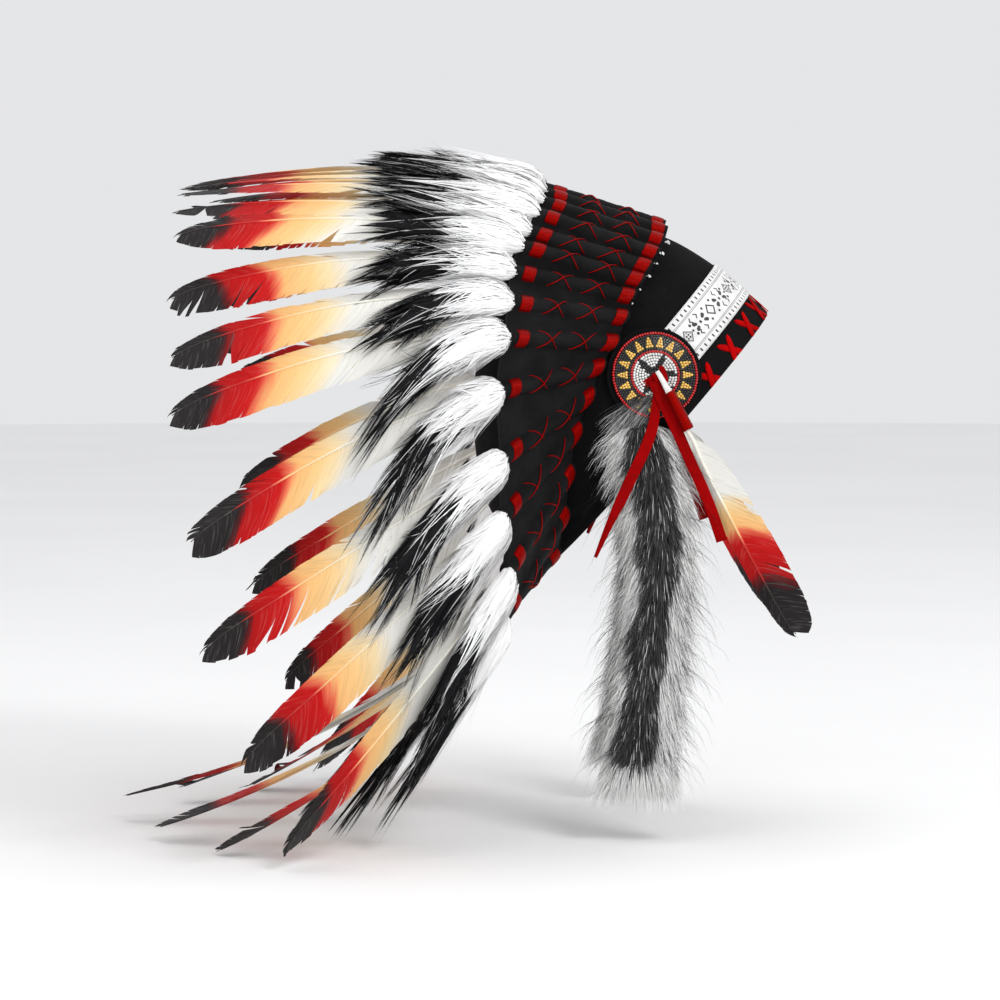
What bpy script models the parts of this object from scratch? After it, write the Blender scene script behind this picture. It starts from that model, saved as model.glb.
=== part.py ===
"""Feathered headdress: a felt crown with a ring of sewn sleeves, feathers, rosettes and hanging trims.

Metres, +Z up. The wearer faces +X, and the wearer's right side is -Y. The origin is the middle of the
crown's rim, where the headdress sits on a head.
"""

import math

import bmesh
import bpy
from mathutils import Matrix, Vector

MM = 0.001
SHARP_ANGLE = math.radians(40)

# Clearances between pieces
SEAT_GAP = 0.3 * MM
SEWN_GAP = 0.5 * MM
LAYER_GAP = 0.4 * MM

# Crown, a felt cap whose rim is tilted up at the brow
RIM_TILT = math.radians(49)
CROWN_LENGTH = 217 * MM
CROWN_WIDTH = 158 * MM
CROWN_DEPTH = 150 * MM
CROWN_WALL = 2 * MM
CROWN_SEGMENTS = 40

# Sections of the crown: height as a share of its depth, length and width as shares of the rim's,
# and how far the section's middle moves forward, as a share of the rim's half length
CROWN_SECTIONS = (
    # height, length, width, forward
    (0.00, 1.000, 1.000, 0.000),
    (0.15, 1.005, 1.005, 0.000),
    (0.31, 0.995, 0.995, 0.005),
    (0.44, 0.935, 0.945, 0.040),
    (0.56, 0.845, 0.860, 0.080),
    (0.70, 0.690, 0.710, 0.130),
    (0.85, 0.450, 0.470, 0.180),
    (0.95, 0.230, 0.240, 0.200),
    (0.99, 0.080, 0.080, 0.200),
)

# Trim ribbon round the front of the crown
RIBBON_WIDTH = 29 * MM
RIBBON_RISE = 17 * MM
RIBBON_THICKNESS = 1 * MM
RIBBON_STEPS = 7

# Rosettes over the ears
ROSETTE_HEIGHT = 32 * MM
ROSETTE_AROUND = math.radians(74.5)
BACKING_RADIUS = 29 * MM
BACKING_THICKNESS = 1.5 * MM
BEADWORK_RADIUS = 26.5 * MM
BEADWORK_THICKNESS = 2.6 * MM
ROSETTE_SEGMENTS = 32

# Sleeves of the quill panel
SLEEVE_RADIUS = 5.3 * MM
SLEEVE_LENGTH = 79 * MM
PANEL_CLOTH = 2.6 * MM
POCKET_DEPTH = 9 * MM
POCKET_CLEARANCE = 0.35 * MM
SLEEVE_CREST_ANGLE = 60

# One row for each sleeve from the top of the crown down the right side to the nape. Height is a share
# of the crown's depth and around is the angle from the front. The sleeve and its feather's chord each
# have a climb above level and a splay to the side. The tuft droops by a share of its length. The left
# side mirrors the right.
SLEEVES = (
    # name, height, around, sleeve climb, sleeve splay, feather climb, feather splay, tuft droop
    ("top", 0.560, 0, 17.5, 0, 0.5, 0, 0.0),
    ("01", 0.545, 15, 17.5, 2.5, 1.3, 5.5, 0.0),
    ("02", 0.530, 26, 18, 5, 2.3, 11, 0.0),
    ("03", 0.515, 36, 18.5, 8, 3.0, 16, 0.0),
    ("04", 0.505, 44.5, 16.5, 10.5, 3.4, 20.6, 0.0),
    ("05", 0.495, 52, 16.2, 13.5, 1.5, 26, 0.03),
    ("06", 0.480, 59.5, 12, 18, -4.9, 27, 0.08),
    ("07", 0.450, 67.5, 8, 26, -10.0, 28.5, 0.18),
    ("08", 0.425, 76.5, 3, 33, -12.6, 28.5, 0.30),
    ("09", 0.405, 85.5, -12.5, 37, -25.6, 29, 0.30),
    ("10", 0.361, 94.5, -34, 36, -32.7, 24, 0.20),
    ("11", 0.309, 105, -48, 32, -43.0, 23.5, 0.14),
    ("12", 0.219, 117.5, -57, 30, -51.0, 22, 0.14),
    ("13", 0.119, 131, -58.5, 25, -39, 12, 0.20),
    ("14", 0.035, 146, -48, 15, -30, 4, 0.24),
    ("nape", 0.020, 180, -42, 0, -25, 0, 0.24),
)

# Feathers: a diamond section whose ridge is the shaft
QUILL_RADIUS = 1.9 * MM
FEATHER_LENGTH = 234 * MM
BLADE_WIDTH = 29 * MM
BLADE_THICKNESS = 1.6 * MM
BLADE_REACH = 0.42
BLADE_TWIST = math.radians(13)
BLADE_THIN_AT = 0.4

# Outline of a blade: place along its length, width as a share of the widest, and twist as a share
BLADE_SECTIONS = (
    # place, width, twist
    (0.04, 0.18, 0.2),
    (0.16, 0.50, 1.0),
    (0.40, 0.80, 1.0),
    (0.66, 1.00, 1.0),
    (0.84, 0.84, 1.0),
    (0.95, 0.46, 1.0),
    (1.00, 0.08, 1.0),
)

# Plume tufts that lie on the outer side of the feathers' roots
TUFT_LENGTH = 98 * MM
TUFT_HEIGHT = 11 * MM
TUFT_SETBACK = 2.4 * MM
TUFT_HALF_WIDTH = 17 * MM
TUFT_SHARE = 0.45
TUFT_LIFT = 6.5 * MM

# Sections of a tuft: place along it, height, lift over the feather and width, each as a share
TUFT_SECTIONS = (
    # place, height, lift, width
    (0.00, 0.40, 0.43, 0.80),
    (0.10, 0.90, 1.00, 0.97),
    (0.23, 0.97, 1.05, 0.99),
    (0.40, 1.00, 1.05, 1.00),
    (0.75, 0.55, 1.00, 0.90),
    (1.00, 0.12, 1.00, 0.60),
)

# Outline across a tuft: side as a share of the half width, height as a share
TUFT_OUTLINE = ((-1.0, 0.45), (-0.3, 0.95), (0.3, 0.95), (1.0, 0.45))

# Groups of sleeves that share one tuft solid
TUFT_GROUPS = (
    ("tuft_r1", ("r02", "r03", "r04")),
    ("tuft_r2", ("r05", "r06", "r07")),
    ("tuft_r3", ("r08", "r09", "r10")),
    ("tuft_r4", ("r11", "r12", "r13")),
    ("tuft_nape", ("r14", "nape", "l14")),
    ("tuft_l4", ("l13", "l12", "l11")),
    ("tuft_l3", ("l10", "l09", "l08")),
    ("tuft_l2", ("l07", "l06", "l05")),
    ("tuft_l1", ("l04", "l03", "l02")),
    ("tuft_top", ("l01", "top", "r01")),
)

# Fur tail that hangs under each rosette
TAIL_LENGTH = 240 * MM
TAIL_WIDTH = 45 * MM
TAIL_THICKNESS = 21 * MM
TAIL_SIDES = 12
TAIL_BEHIND = 7.5 * MM

# Sections of a fur tail: place down its length, width and thickness as shares, and how far its middle
# swings forward as a share of its width
TAIL_SECTIONS = (
    # place, width, thickness, swing
    (0.00, 0.45, 0.35, 0.00),
    (0.05, 0.85, 0.55, 0.02),
    (0.15, 1.00, 0.90, 0.12),
    (0.35, 0.97, 1.00, 0.26),
    (0.60, 1.00, 1.00, 0.16),
    (0.85, 1.10, 1.00, 0.00),
    (0.96, 0.95, 0.80, -0.08),
    (1.00, 0.45, 0.35, -0.10),
)

# Laces: flat strips knotted at the rosette's middle, whose routes are chosen by eye. Each point is
# forward, out and up from the middle of the beadwork's face.
LACE_WIDTH = 7 * MM
LACE_THICKNESS = 0.8 * MM
LACE_ROUTES = {
    "lace_back": (
        (1.5, 1.5, -3.5),
        (1.0, 2.6, -10),
        (0.0, 4.3, -19),
        (-1.0, 7.6, -28),
        (-3.5, 11.6, -37),
        (-7.5, 15.6, -47),
        (-13.0, 19.2, -58),
        (-20.0, 20.8, -73),
        (-29.0, 21.2, -92),
        (-38.0, 21.2, -113),
    ),
    "lace_front": (
        (-1.5, 2.8, -3.5),
        (1.5, 3.9, -10),
        (5.5, 5.8, -18.5),
        (10.5, 8.4, -29),
        (16.0, 11.5, -41),
        (21.5, 15.0, -54),
        (27.5, 17.0, -67),
        (34.5, 18.0, -84),
        (41.0, 18.5, -103),
    ),
}
LACE_TIP_SHARE = {"lace_back": 0.3, "lace_front": 1.0}

# Thong, cuff and pendant feather, placed from the middle of the beadwork's face like the laces
THONG_WIDTH = 5.5 * MM
THONG_THICKNESS = 1.2 * MM
THONG_ROUTE = ((1.5, 3.6, 3.0), (3.5, 5.6, -2.5), (5.9, 9.4, -8.4))
CUFF_RADIUS = 4.2 * MM
CUFF_LENGTH = 28 * MM
CUFF_SIDES = 12
CUFF_START = (6.6, 9.8, -9.6)
CUFF_AIM = (13.6, 3.6, -24.0)
PENDANT_LENGTH = 148 * MM
PENDANT_WIDTH = 27 * MM
PENDANT_AIM = (70.0, -2.0, -131.0)
PENDANT_TURN = math.radians(20)

COLOURS = {
    "felt_black": (0.012, 0.012, 0.013, 0.95),
    "cloth_black": (0.016, 0.016, 0.018, 0.9),
    "braid_white": (0.86, 0.86, 0.86, 0.7),
    "beads": (0.45, 0.03, 0.02, 0.35),
    "feather": (0.85, 0.6, 0.4, 0.6),
    "plume_white": (0.9, 0.9, 0.9, 0.8),
    "fur_grey": (0.25, 0.25, 0.26, 0.85),
    "lace_red": (0.5, 0.005, 0.005, 0.7),
    "thong_white": (0.85, 0.84, 0.82, 0.75),
    "thread_red": (0.62, 0.01, 0.01, 0.45),
}


def remove_all():
    for item in list(bpy.data.objects):
        bpy.data.objects.remove(item, do_unlink=True)


def material(name):
    found = bpy.data.materials.get(name)
    if found:
        return found
    made = bpy.data.materials.new(name)
    made.use_nodes = True
    red, green, blue, rough = COLOURS[name]
    shader = made.node_tree.nodes["Principled BSDF"]
    shader.inputs["Base Color"].default_value = (red, green, blue, 1)
    shader.inputs["Roughness"].default_value = rough
    shader.inputs["Metallic"].default_value = 0
    return made


def add_mesh(name, points, faces, finish, parent=None):
    """A closed object from its points and faces, with every face turned out."""
    mesh = bpy.data.meshes.new(name)
    mesh.from_pydata([tuple(p) for p in points], [], faces)
    shape = bmesh.new()
    shape.from_mesh(mesh)
    bmesh.ops.recalc_face_normals(shape, faces=shape.faces)
    shape.to_mesh(mesh)
    shape.free()
    mesh.shade_smooth()
    mesh.set_sharp_from_angle(angle=SHARP_ANGLE)
    made = bpy.data.objects.new(name, mesh)
    made.data.materials.append(material(finish))
    made.parent = parent
    bpy.context.scene.collection.objects.link(made)
    return made


def loft(rings):
    """Points and faces of a tube through rings of equal count, with a flat cap on each end."""
    count = len(rings[0])
    points = [p for ring in rings for p in ring]
    faces = [list(range(count))]
    for row in range(len(rings) - 1):
        for j in range(count):
            a = row * count + j
            b = row * count + (j + 1) % count
            faces.append([a, b, b + count, a + count])
    faces.append([(len(rings) - 1) * count + j for j in range(count)])
    return points, faces


def band(rows, closed):
    """Points and faces of a sheet with an outer and an inner skin, closed into a ring or open-sided.

    Each row is (outer points, inner points), which pair up across the sheet's thickness.
    """
    count = len(rows[0][0])
    points = [p for outer, inner in rows for p in (*outer, *inner)]

    def at(row, skin, j):
        return row * 2 * count + skin * count + j % count

    faces = []
    for j in range(count if closed else count - 1):
        for row in (0, len(rows) - 1):
            faces.append([at(row, 0, j), at(row, 0, j + 1), at(row, 1, j + 1), at(row, 1, j)])
        for row in range(len(rows) - 1):
            for skin in (0, 1):
                faces.append([at(row, skin, j), at(row, skin, j + 1), at(row + 1, skin, j + 1), at(row + 1, skin, j)])
    if not closed:
        for j in (0, count - 1):
            for row in range(len(rows) - 1):
                faces.append([at(row, 0, j), at(row + 1, 0, j), at(row + 1, 1, j), at(row, 1, j)])
    return points, faces


def between(table, place):
    """Values of a table of rows at a place, on straight lines between its rows."""
    for low, high in zip(table, table[1:]):
        if place <= high[0]:
            share = max(0.0, (place - low[0]) / (high[0] - low[0]))
            return [a + (b - a) * share for a, b in zip(low[1:], high[1:])]
    return list(table[-1][1:])


def mirrored(points):
    return [Vector((p.x, -p.y, p.z)) for p in points]


# Crown


def cap_to_world():
    """Turns the crown's own frame, forward, left and up from the rim, into the world's."""
    return Matrix.Rotation(-RIM_TILT, 3, "Y")


def crown_point(height, around, inset=0.0):
    """A point of the crown in its own frame, at a share of its depth and an angle from the front."""
    length, width, forward = between(CROWN_SECTIONS, height)
    half_length = CROWN_LENGTH / 2 * length - inset
    half_width = CROWN_WIDTH / 2 * width - inset
    middle = CROWN_LENGTH / 2 * forward
    rise = CROWN_DEPTH * height
    return Vector((middle + half_length * math.cos(around), -half_width * math.sin(around), rise))


def crown_normal(height, around):
    step = 0.01
    across = crown_point(height, around + step) - crown_point(height, around - step)
    up = crown_point(height + step, around) - crown_point(height - step if height > step else 0, around)
    return up.cross(across).normalized()


def crown_ring(height, inset, drop=0.0):
    turns = [2 * math.pi * j / CROWN_SEGMENTS for j in range(CROWN_SEGMENTS)]
    return [crown_point(height, turn, inset) - Vector((0, 0, drop)) for turn in turns]


def make_crown(frame):
    heights = [row[0] for row in CROWN_SECTIONS]
    inner = [crown_ring(h, CROWN_WALL, CROWN_WALL * h) for h in heights[:-1]]
    outer = [crown_ring(h, 0) for h in heights]
    points, faces = loft([*reversed(inner), *outer])
    add_mesh("crown", points, faces, "felt_black", frame)


def make_ribbon(frame):
    step = 2 * math.pi / CROWN_SEGMENTS
    rings = []
    for j in range(-RIBBON_STEPS, RIBBON_STEPS + 1):
        ring = []
        for rise, stand in ((0, 0), (1, 0), (1, 1), (0, 1)):
            height = (RIBBON_RISE + rise * RIBBON_WIDTH) / CROWN_DEPTH
            offset = SEWN_GAP + stand * RIBBON_THICKNESS
            ring.append(crown_point(height, j * step, -offset))
        rings.append(ring)
    points, faces = loft(rings)
    add_mesh("trim_ribbon", points, faces, "braid_white", frame)


# Rosettes


def rosette_frame():
    """Middle of the rosette on the crown's side and its forward, up and outward directions, in the world."""
    height = ROSETTE_HEIGHT / CROWN_DEPTH
    turn = cap_to_world()
    middle = turn @ crown_point(height, ROSETTE_AROUND)
    away = turn @ Vector((CROWN_WIDTH * math.cos(ROSETTE_AROUND), -CROWN_LENGTH * math.sin(ROSETTE_AROUND), 0))
    out = away.normalized()
    up = (Vector((0, 0, 1)) - out * out.z).normalized()
    return middle, up.cross(out), up, out


def disc(profile, stand):
    """A turned disc on the rosette's axis, from rows of radius and height over the crown."""
    middle, forward, up, out = rosette_frame()
    rings = []
    for radius, rise in profile:
        ring = []
        for j in range(ROSETTE_SEGMENTS):
            turn = 2 * math.pi * j / ROSETTE_SEGMENTS
            ring.append(middle + out * (stand + rise) + (forward * math.cos(turn) + up * math.sin(turn)) * radius)
        rings.append(ring)
    return loft(rings)


def beadwork_stand():
    return SEWN_GAP + BACKING_THICKNESS + SEAT_GAP


def make_rosettes():
    backing = ((BACKING_RADIUS, 0), (BACKING_RADIUS, BACKING_THICKNESS))
    shoulder = BEADWORK_THICKNESS / 2
    beadwork = ((BEADWORK_RADIUS, 0), (BEADWORK_RADIUS, shoulder), (BEADWORK_RADIUS - shoulder, BEADWORK_THICKNESS))
    for side, flip in (("r", list), ("l", mirrored)):
        points, faces = disc(backing, SEWN_GAP)
        add_mesh(f"rosette_backing_{side}", flip(points), faces, "felt_black")
        points, faces = disc(beadwork, beadwork_stand())
        add_mesh(f"rosette_beads_{side}", flip(points), faces, "beads")


def from_rosette(place):
    """A point given in millimetres forward, out and up from the middle of the right beadwork's face.

    Forward and up are the world's own, and out is away from the head, so that what hangs here hangs plumb.
    """
    middle, _, _, out = rosette_frame()
    face = middle + out * (beadwork_stand() + BEADWORK_THICKNESS)
    return face + Vector((place[0], -place[1], place[2])) * MM


# Sleeves and feathers


def aim(climb, splay):
    climb, splay = math.radians(climb), math.radians(splay)
    return Vector((-math.cos(climb) * math.cos(splay), -math.sin(splay), math.sin(climb) * math.cos(splay)))


def web_sag(row, other):
    """How far the crown bulges over a straight web between two sleeves' starts."""
    (low, near), (high, far) = (row[1], math.radians(row[2])), (other[1], math.radians(other[2]))
    middle = (crown_point(low, near) + crown_point(high, far)) / 2
    return (crown_point((low + high) / 2, (near + far) / 2) - middle).length


def sleeve(rows, k):
    """Front end, direction and feather chord of a right-hand sleeve, which rests on the crown's outside."""
    name, height, around, climb, splay, chord_climb, chord_splay, droop = rows[k]
    turn = cap_to_world()
    angle = math.radians(around)
    normal = turn @ crown_normal(height, angle)
    along = aim(climb, splay)
    lean = math.sqrt(max(0.0, 1 - along.dot(normal) ** 2))
    sag = max(web_sag(rows[k], other) for other in rows[max(0, k - 1) : k + 2])
    stand = max(SLEEVE_RADIUS * lean, sag + PANEL_CLOTH / 2) + SEWN_GAP
    start = turn @ crown_point(height, angle) + normal * stand
    chord = aim(chord_climb, chord_splay)
    return {"name": name, "droop": droop, "start": start, "along": along, "chord": chord}


def flipped(right):
    start, along, chord = mirrored([right["start"], right["along"], right["chord"]])
    return {"name": "l" + right["name"], "droop": right["droop"], "start": start, "along": along, "chord": chord}


def sleeve_ring():
    """All sleeves in order round the crown, from the top down the right side and back up the left."""
    right = [sleeve(SLEEVES, k) for k in range(len(SLEEVES))]
    top, *sides, nape = right
    left = [flipped(one) for one in reversed(sides)]
    for one in sides:
        one["name"] = "r" + one["name"]
    ring = [top, *sides, nape, *left]
    for one in ring:
        one["end"] = one["start"] + one["along"] * SLEEVE_LENGTH
    return ring


def feather_curve(one, place, length=FEATHER_LENGTH):
    """A point on a feather's shaft and its direction, at a share of its length from the sleeve's end."""
    start = one["end"]
    bend = start + one["along"] * length * BLADE_REACH
    tip = start + one["chord"] * length
    point = start * (1 - place) ** 2 + bend * 2 * place * (1 - place) + tip * place**2
    heading = (bend - start) * (1 - place) + (tip - bend) * place
    return point, heading.normalized()


def outward(ring, k, place):
    """The direction out of the fan at a place on a feather, square to its shaft and to its neighbours."""
    before, _ = feather_curve(ring[k - 1], place)
    after, _ = feather_curve(ring[(k + 1) % len(ring)], place)
    _, heading = feather_curve(ring[k], place)
    return heading.cross(after - before).normalized()


def panel_row(ring, distance):
    """Outer and inner outline of the quill panel at a distance along its sleeves."""
    places = [one["start"] + one["along"] * distance for one in ring]
    web = math.degrees(math.asin(PANEL_CLOTH / 2 / SLEEVE_RADIUS))
    crest = SLEEVE_RADIUS / math.sin(math.radians(SLEEVE_CREST_ANGLE))
    corners = (
        (180 - web, SLEEVE_RADIUS),
        (180 - SLEEVE_CREST_ANGLE, crest),
        (SLEEVE_CREST_ANGLE, crest),
        (web, SLEEVE_RADIUS),
    )
    outer, inner = [], []
    for k, one in enumerate(ring):
        across = (places[(k + 1) % len(ring)] - places[k - 1]).normalized()
        square = across - one["along"] * across.dot(one["along"])
        out = one["along"].cross(square).normalized()
        slant = across / square.length
        for angle, radius in corners:
            along_web = slant * math.cos(math.radians(angle)) * radius
            away = out * math.sin(math.radians(angle)) * radius
            outer.append(places[k] + along_web + away)
            inner.append(places[k] + along_web - away)
    return outer, inner


def make_quill_panel(ring):
    points, faces = band([panel_row(ring, 0), panel_row(ring, SLEEVE_LENGTH)], closed=True)
    panel = add_mesh("quill_panel", points, faces, "cloth_black")
    pockets = bmesh.new()
    radius = QUILL_RADIUS + POCKET_CLEARANCE
    sides = 6
    for one in ring:
        turn = one["along"].to_track_quat("Z", "Y").to_matrix().to_4x4()
        bmesh.ops.create_cone(
            pockets,
            cap_ends=True,
            segments=sides,
            radius1=radius / math.cos(math.pi / sides),
            radius2=radius / math.cos(math.pi / sides),
            depth=2 * POCKET_DEPTH,
            matrix=Matrix.Translation(one["end"]) @ turn,
        )
    mesh = bpy.data.meshes.new("quill_pockets")
    pockets.to_mesh(mesh)
    pockets.free()
    cutter = bpy.data.objects.new("quill_pockets", mesh)
    cutter.hide_render = True
    cutter.display_type = "WIRE"
    bpy.context.scene.collection.objects.link(cutter)
    cut = panel.modifiers.new("pockets", "BOOLEAN")
    cut.operation = "DIFFERENCE"
    cut.object = cutter


def diamond(point, heading, out, half_width, half_thickness, twist):
    """A four-cornered section square to a shaft, turned about it so that neighbouring blades shingle."""
    side = heading.cross(out).normalized()
    face = side.cross(heading)
    turn = Matrix.Rotation(twist, 3, heading)
    side, face = turn @ side, turn @ face
    return [
        point + side * half_width,
        point + face * half_thickness,
        point - side * half_width,
        point - face * half_thickness,
    ]


def blade(one, length, width, outs, turn):
    """A feather from its quill in the sleeve or cuff to its tip, with the way out given at each section."""
    seat = POCKET_DEPTH - SEAT_GAP
    quill = [one["end"] - one["along"] * seat, one["end"]]
    rings = [diamond(p, one["along"], outs[0], QUILL_RADIUS, QUILL_RADIUS, 0) for p in quill]
    for (place, share, twist), out in zip(BLADE_SECTIONS, outs):
        point, heading = feather_curve(one, place, length)
        half_width = width / 2 * share
        thick = QUILL_RADIUS + (BLADE_THICKNESS / 2 - QUILL_RADIUS) * min(1.0, place / BLADE_THIN_AT)
        rings.append(diamond(point, heading, out, half_width, thick, twist * turn))
    return loft(rings)


def make_feathers(ring):
    for k, one in enumerate(ring):
        outs = [outward(ring, k, section[0]) for section in BLADE_SECTIONS]
        turn = -BLADE_TWIST if one["name"].startswith("l") else BLADE_TWIST
        points, faces = blade(one, FEATHER_LENGTH, BLADE_WIDTH, outs, turn)
        add_mesh(f"feather_{one['name']}", points, faces, "feather")


def tuft_row(ring, names, section):
    """Outer and inner outline of a group of tufts at one place along them."""
    place, height, lift, width = section
    share = (TUFT_SETBACK + place * TUFT_LENGTH) / FEATHER_LENGTH
    spots, outs = [], []
    for k, one in enumerate(ring):
        out = outward(ring, k, share)
        droop = Vector((0, 0, -one["droop"] * TUFT_LENGTH * place**2))
        spots.append(feather_curve(one, share)[0] + droop - out * min(0.0, droop.dot(out)))
        outs.append(out)
    order = [one["name"] for one in ring]
    outer, inner = [], []
    for name in names:
        k = order.index(name)
        sides = {-1: spots[k - 1] - spots[k], 1: spots[(k + 1) % len(ring)] - spots[k]}
        for side, rise in TUFT_OUTLINE:
            reach = sides[1 if side > 0 else -1]
            limit = min(TUFT_SHARE, TUFT_HALF_WIDTH / reach.length)
            foot = spots[k] + reach * abs(side) * limit * width + outs[k] * TUFT_LIFT * lift
            inner.append(foot)
            outer.append(foot + outs[k] * TUFT_HEIGHT * height * rise)
    return outer, inner


def make_tufts(ring):
    for node, names in TUFT_GROUPS:
        points, faces = band([tuft_row(ring, names, section) for section in TUFT_SECTIONS], closed=False)
        add_mesh(node, points, faces, "plume_white")


# Hanging trims


def make_fur_tails():
    """The tail's back keeps clear of the crown's side, and its top lies close under the rosette."""
    middle, _, _, _ = rosette_frame()
    top = Vector((middle.x - TAIL_BEHIND, 0, middle.z - BACKING_RADIUS - LAYER_GAP))
    back = CROWN_WIDTH / 2 * max(row[2] for row in CROWN_SECTIONS) + SEWN_GAP
    rings = []
    for place, width, thickness, swing in TAIL_SECTIONS:
        half = TAIL_THICKNESS / 2 * thickness
        ring = []
        for j in range(TAIL_SIDES):
            turn = 2 * math.pi * j / TAIL_SIDES
            x = top.x + TAIL_WIDTH * swing + TAIL_WIDTH / 2 * width * math.cos(turn)
            y = -(back + half) + half * math.sin(turn)
            ring.append(Vector((x, y, top.z - TAIL_LENGTH * place)))
        rings.append(ring)
    points, faces = loft(rings)
    add_mesh("fur_tail_r", points, faces, "fur_grey")
    add_mesh("fur_tail_l", mirrored(points), faces, "fur_grey")


def smooth_route(places, steps):
    """Points on a smooth curve through a route's own points."""
    spots = [from_rosette(place) for place in places]
    spots = [2 * spots[0] - spots[1], *spots, 2 * spots[-1] - spots[-2]]
    route = []
    for k in range(1, len(spots) - 2):
        a, b, c, d = spots[k - 1 : k + 3]
        for j in range(steps):
            t = j / steps
            route.append(
                (2 * b + (c - a) * t + (2 * a - 5 * b + 4 * c - d) * t**2 + (3 * b - a - 3 * c + d) * t**3) / 2
            )
    return [*route, spots[-2]]


def strip(route, width, thickness, tip_share=1.0):
    """A flat strip along a route, whose face looks sideways and whose end may narrow to a point."""
    rings = []
    for k, point in enumerate(route):
        heading = (route[min(k + 1, len(route) - 1)] - route[max(k - 1, 0)]).normalized()
        across = heading.cross(Vector((0, 1, 0))).normalized()
        face = heading.cross(across)
        last = k / (len(route) - 1)
        half = width / 2 * (1 - (1 - tip_share) * max(0.0, last - 0.8) / 0.2)
        rings.append(
            [point + across * half * a + face * thickness / 2 * b for a, b in ((1, 1), (-1, 1), (-1, -1), (1, -1))]
        )
    return loft(rings)


def make_laces():
    for name, places in LACE_ROUTES.items():
        points, faces = strip(smooth_route(places, 1), LACE_WIDTH, LACE_THICKNESS, LACE_TIP_SHARE[name])
        add_mesh(f"{name}_r", points, faces, "lace_red")
        add_mesh(f"{name}_l", mirrored(points), faces, "lace_red")


def make_pendants():
    start = from_rosette(CUFF_START)
    along = Vector((CUFF_AIM[0], -CUFF_AIM[1], CUFF_AIM[2])).normalized()
    side = along.cross(Vector((0, 1, 0))).normalized()
    face = side.cross(along)

    def circle(distance, radius):
        turns = [2 * math.pi * j / CUFF_SIDES for j in range(CUFF_SIDES)]
        return [start + along * distance + (side * math.cos(t) + face * math.sin(t)) * radius for t in turns]

    bore = QUILL_RADIUS + POCKET_CLEARANCE
    floor = CUFF_LENGTH - POCKET_DEPTH
    cuff = loft([circle(floor, bore), circle(CUFF_LENGTH, bore), circle(CUFF_LENGTH, CUFF_RADIUS), circle(0, CUFF_RADIUS)])
    thong = strip(smooth_route(THONG_ROUTE, 2), THONG_WIDTH, THONG_THICKNESS)
    hang = Vector((PENDANT_AIM[0], -PENDANT_AIM[1], PENDANT_AIM[2])).normalized()
    pendant = {"end": start + along * CUFF_LENGTH, "along": along, "chord": hang}
    out = Matrix.Rotation(PENDANT_TURN, 3, along) @ -face
    feather = blade(pendant, PENDANT_LENGTH, PENDANT_WIDTH, [out] * len(BLADE_SECTIONS), 0)
    for node, (points, faces), finish in (
        ("pendant_cuff", cuff, "thread_red"),
        ("thong", thong, "thong_white"),
        ("pendant_feather", feather, "feather"),
    ):
        add_mesh(f"{node}_r", points, faces, finish)
        add_mesh(f"{node}_l", mirrored(points), faces, finish)


def main():
    remove_all()
    frame = bpy.data.objects.new("crown_frame", None)
    frame.rotation_euler = (0, -RIM_TILT, 0)
    bpy.context.scene.collection.objects.link(frame)
    make_crown(frame)
    make_ribbon(frame)
    make_rosettes()
    ring = sleeve_ring()
    make_quill_panel(ring)
    make_feathers(ring)
    make_tufts(ring)
    make_fur_tails()
    make_laces()
    make_pendants()


main()
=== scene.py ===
"""Looks of a feathered headdress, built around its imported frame.

Metres, +Z up. The front faces +X, and the right side is -Y. The origin is the middle of the crown's rim.
The right side is built, and the left side mirrors it.
"""

import math
from functools import partial

import bpy
import numpy as np
from mathutils import Matrix, Vector


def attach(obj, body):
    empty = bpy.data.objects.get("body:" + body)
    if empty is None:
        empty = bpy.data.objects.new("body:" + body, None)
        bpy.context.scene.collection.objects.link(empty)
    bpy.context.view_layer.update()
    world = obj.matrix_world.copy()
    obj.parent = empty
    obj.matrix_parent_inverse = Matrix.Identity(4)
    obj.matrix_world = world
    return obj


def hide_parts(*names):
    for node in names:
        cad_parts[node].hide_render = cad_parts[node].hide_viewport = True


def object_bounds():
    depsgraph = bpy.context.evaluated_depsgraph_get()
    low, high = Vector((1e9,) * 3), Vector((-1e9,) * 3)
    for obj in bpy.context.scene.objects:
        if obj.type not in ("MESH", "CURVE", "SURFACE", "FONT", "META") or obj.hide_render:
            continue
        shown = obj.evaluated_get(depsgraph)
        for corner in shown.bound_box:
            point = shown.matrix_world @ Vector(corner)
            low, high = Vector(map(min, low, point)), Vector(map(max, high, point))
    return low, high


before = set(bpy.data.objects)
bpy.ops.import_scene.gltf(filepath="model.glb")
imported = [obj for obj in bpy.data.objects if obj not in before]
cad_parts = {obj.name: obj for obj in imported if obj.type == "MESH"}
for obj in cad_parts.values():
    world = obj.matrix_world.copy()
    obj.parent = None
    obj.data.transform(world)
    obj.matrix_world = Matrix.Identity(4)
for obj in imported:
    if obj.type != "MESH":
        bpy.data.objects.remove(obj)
CAD_BOX = [[float(value) for value in corner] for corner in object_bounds()]
MM = 0.001
WORLD_UP = np.array([0.0, 0.0, 1.0])

# The floor, and the lowest height that loose hair may reach above it
FLOOR_HEIGHT = CAD_BOX[0][2] - 1 * MM
LOWEST_STRAND = -247.5 * MM

# Camera, a long lens that looks at the right side from just above level
CAMERA_PLACE = (-0.1017, -2.4, 0.1152)
CAMERA_AIM = (-0.1017, 0.0, -0.040)
CAMERA_LENS = 133.2

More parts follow.
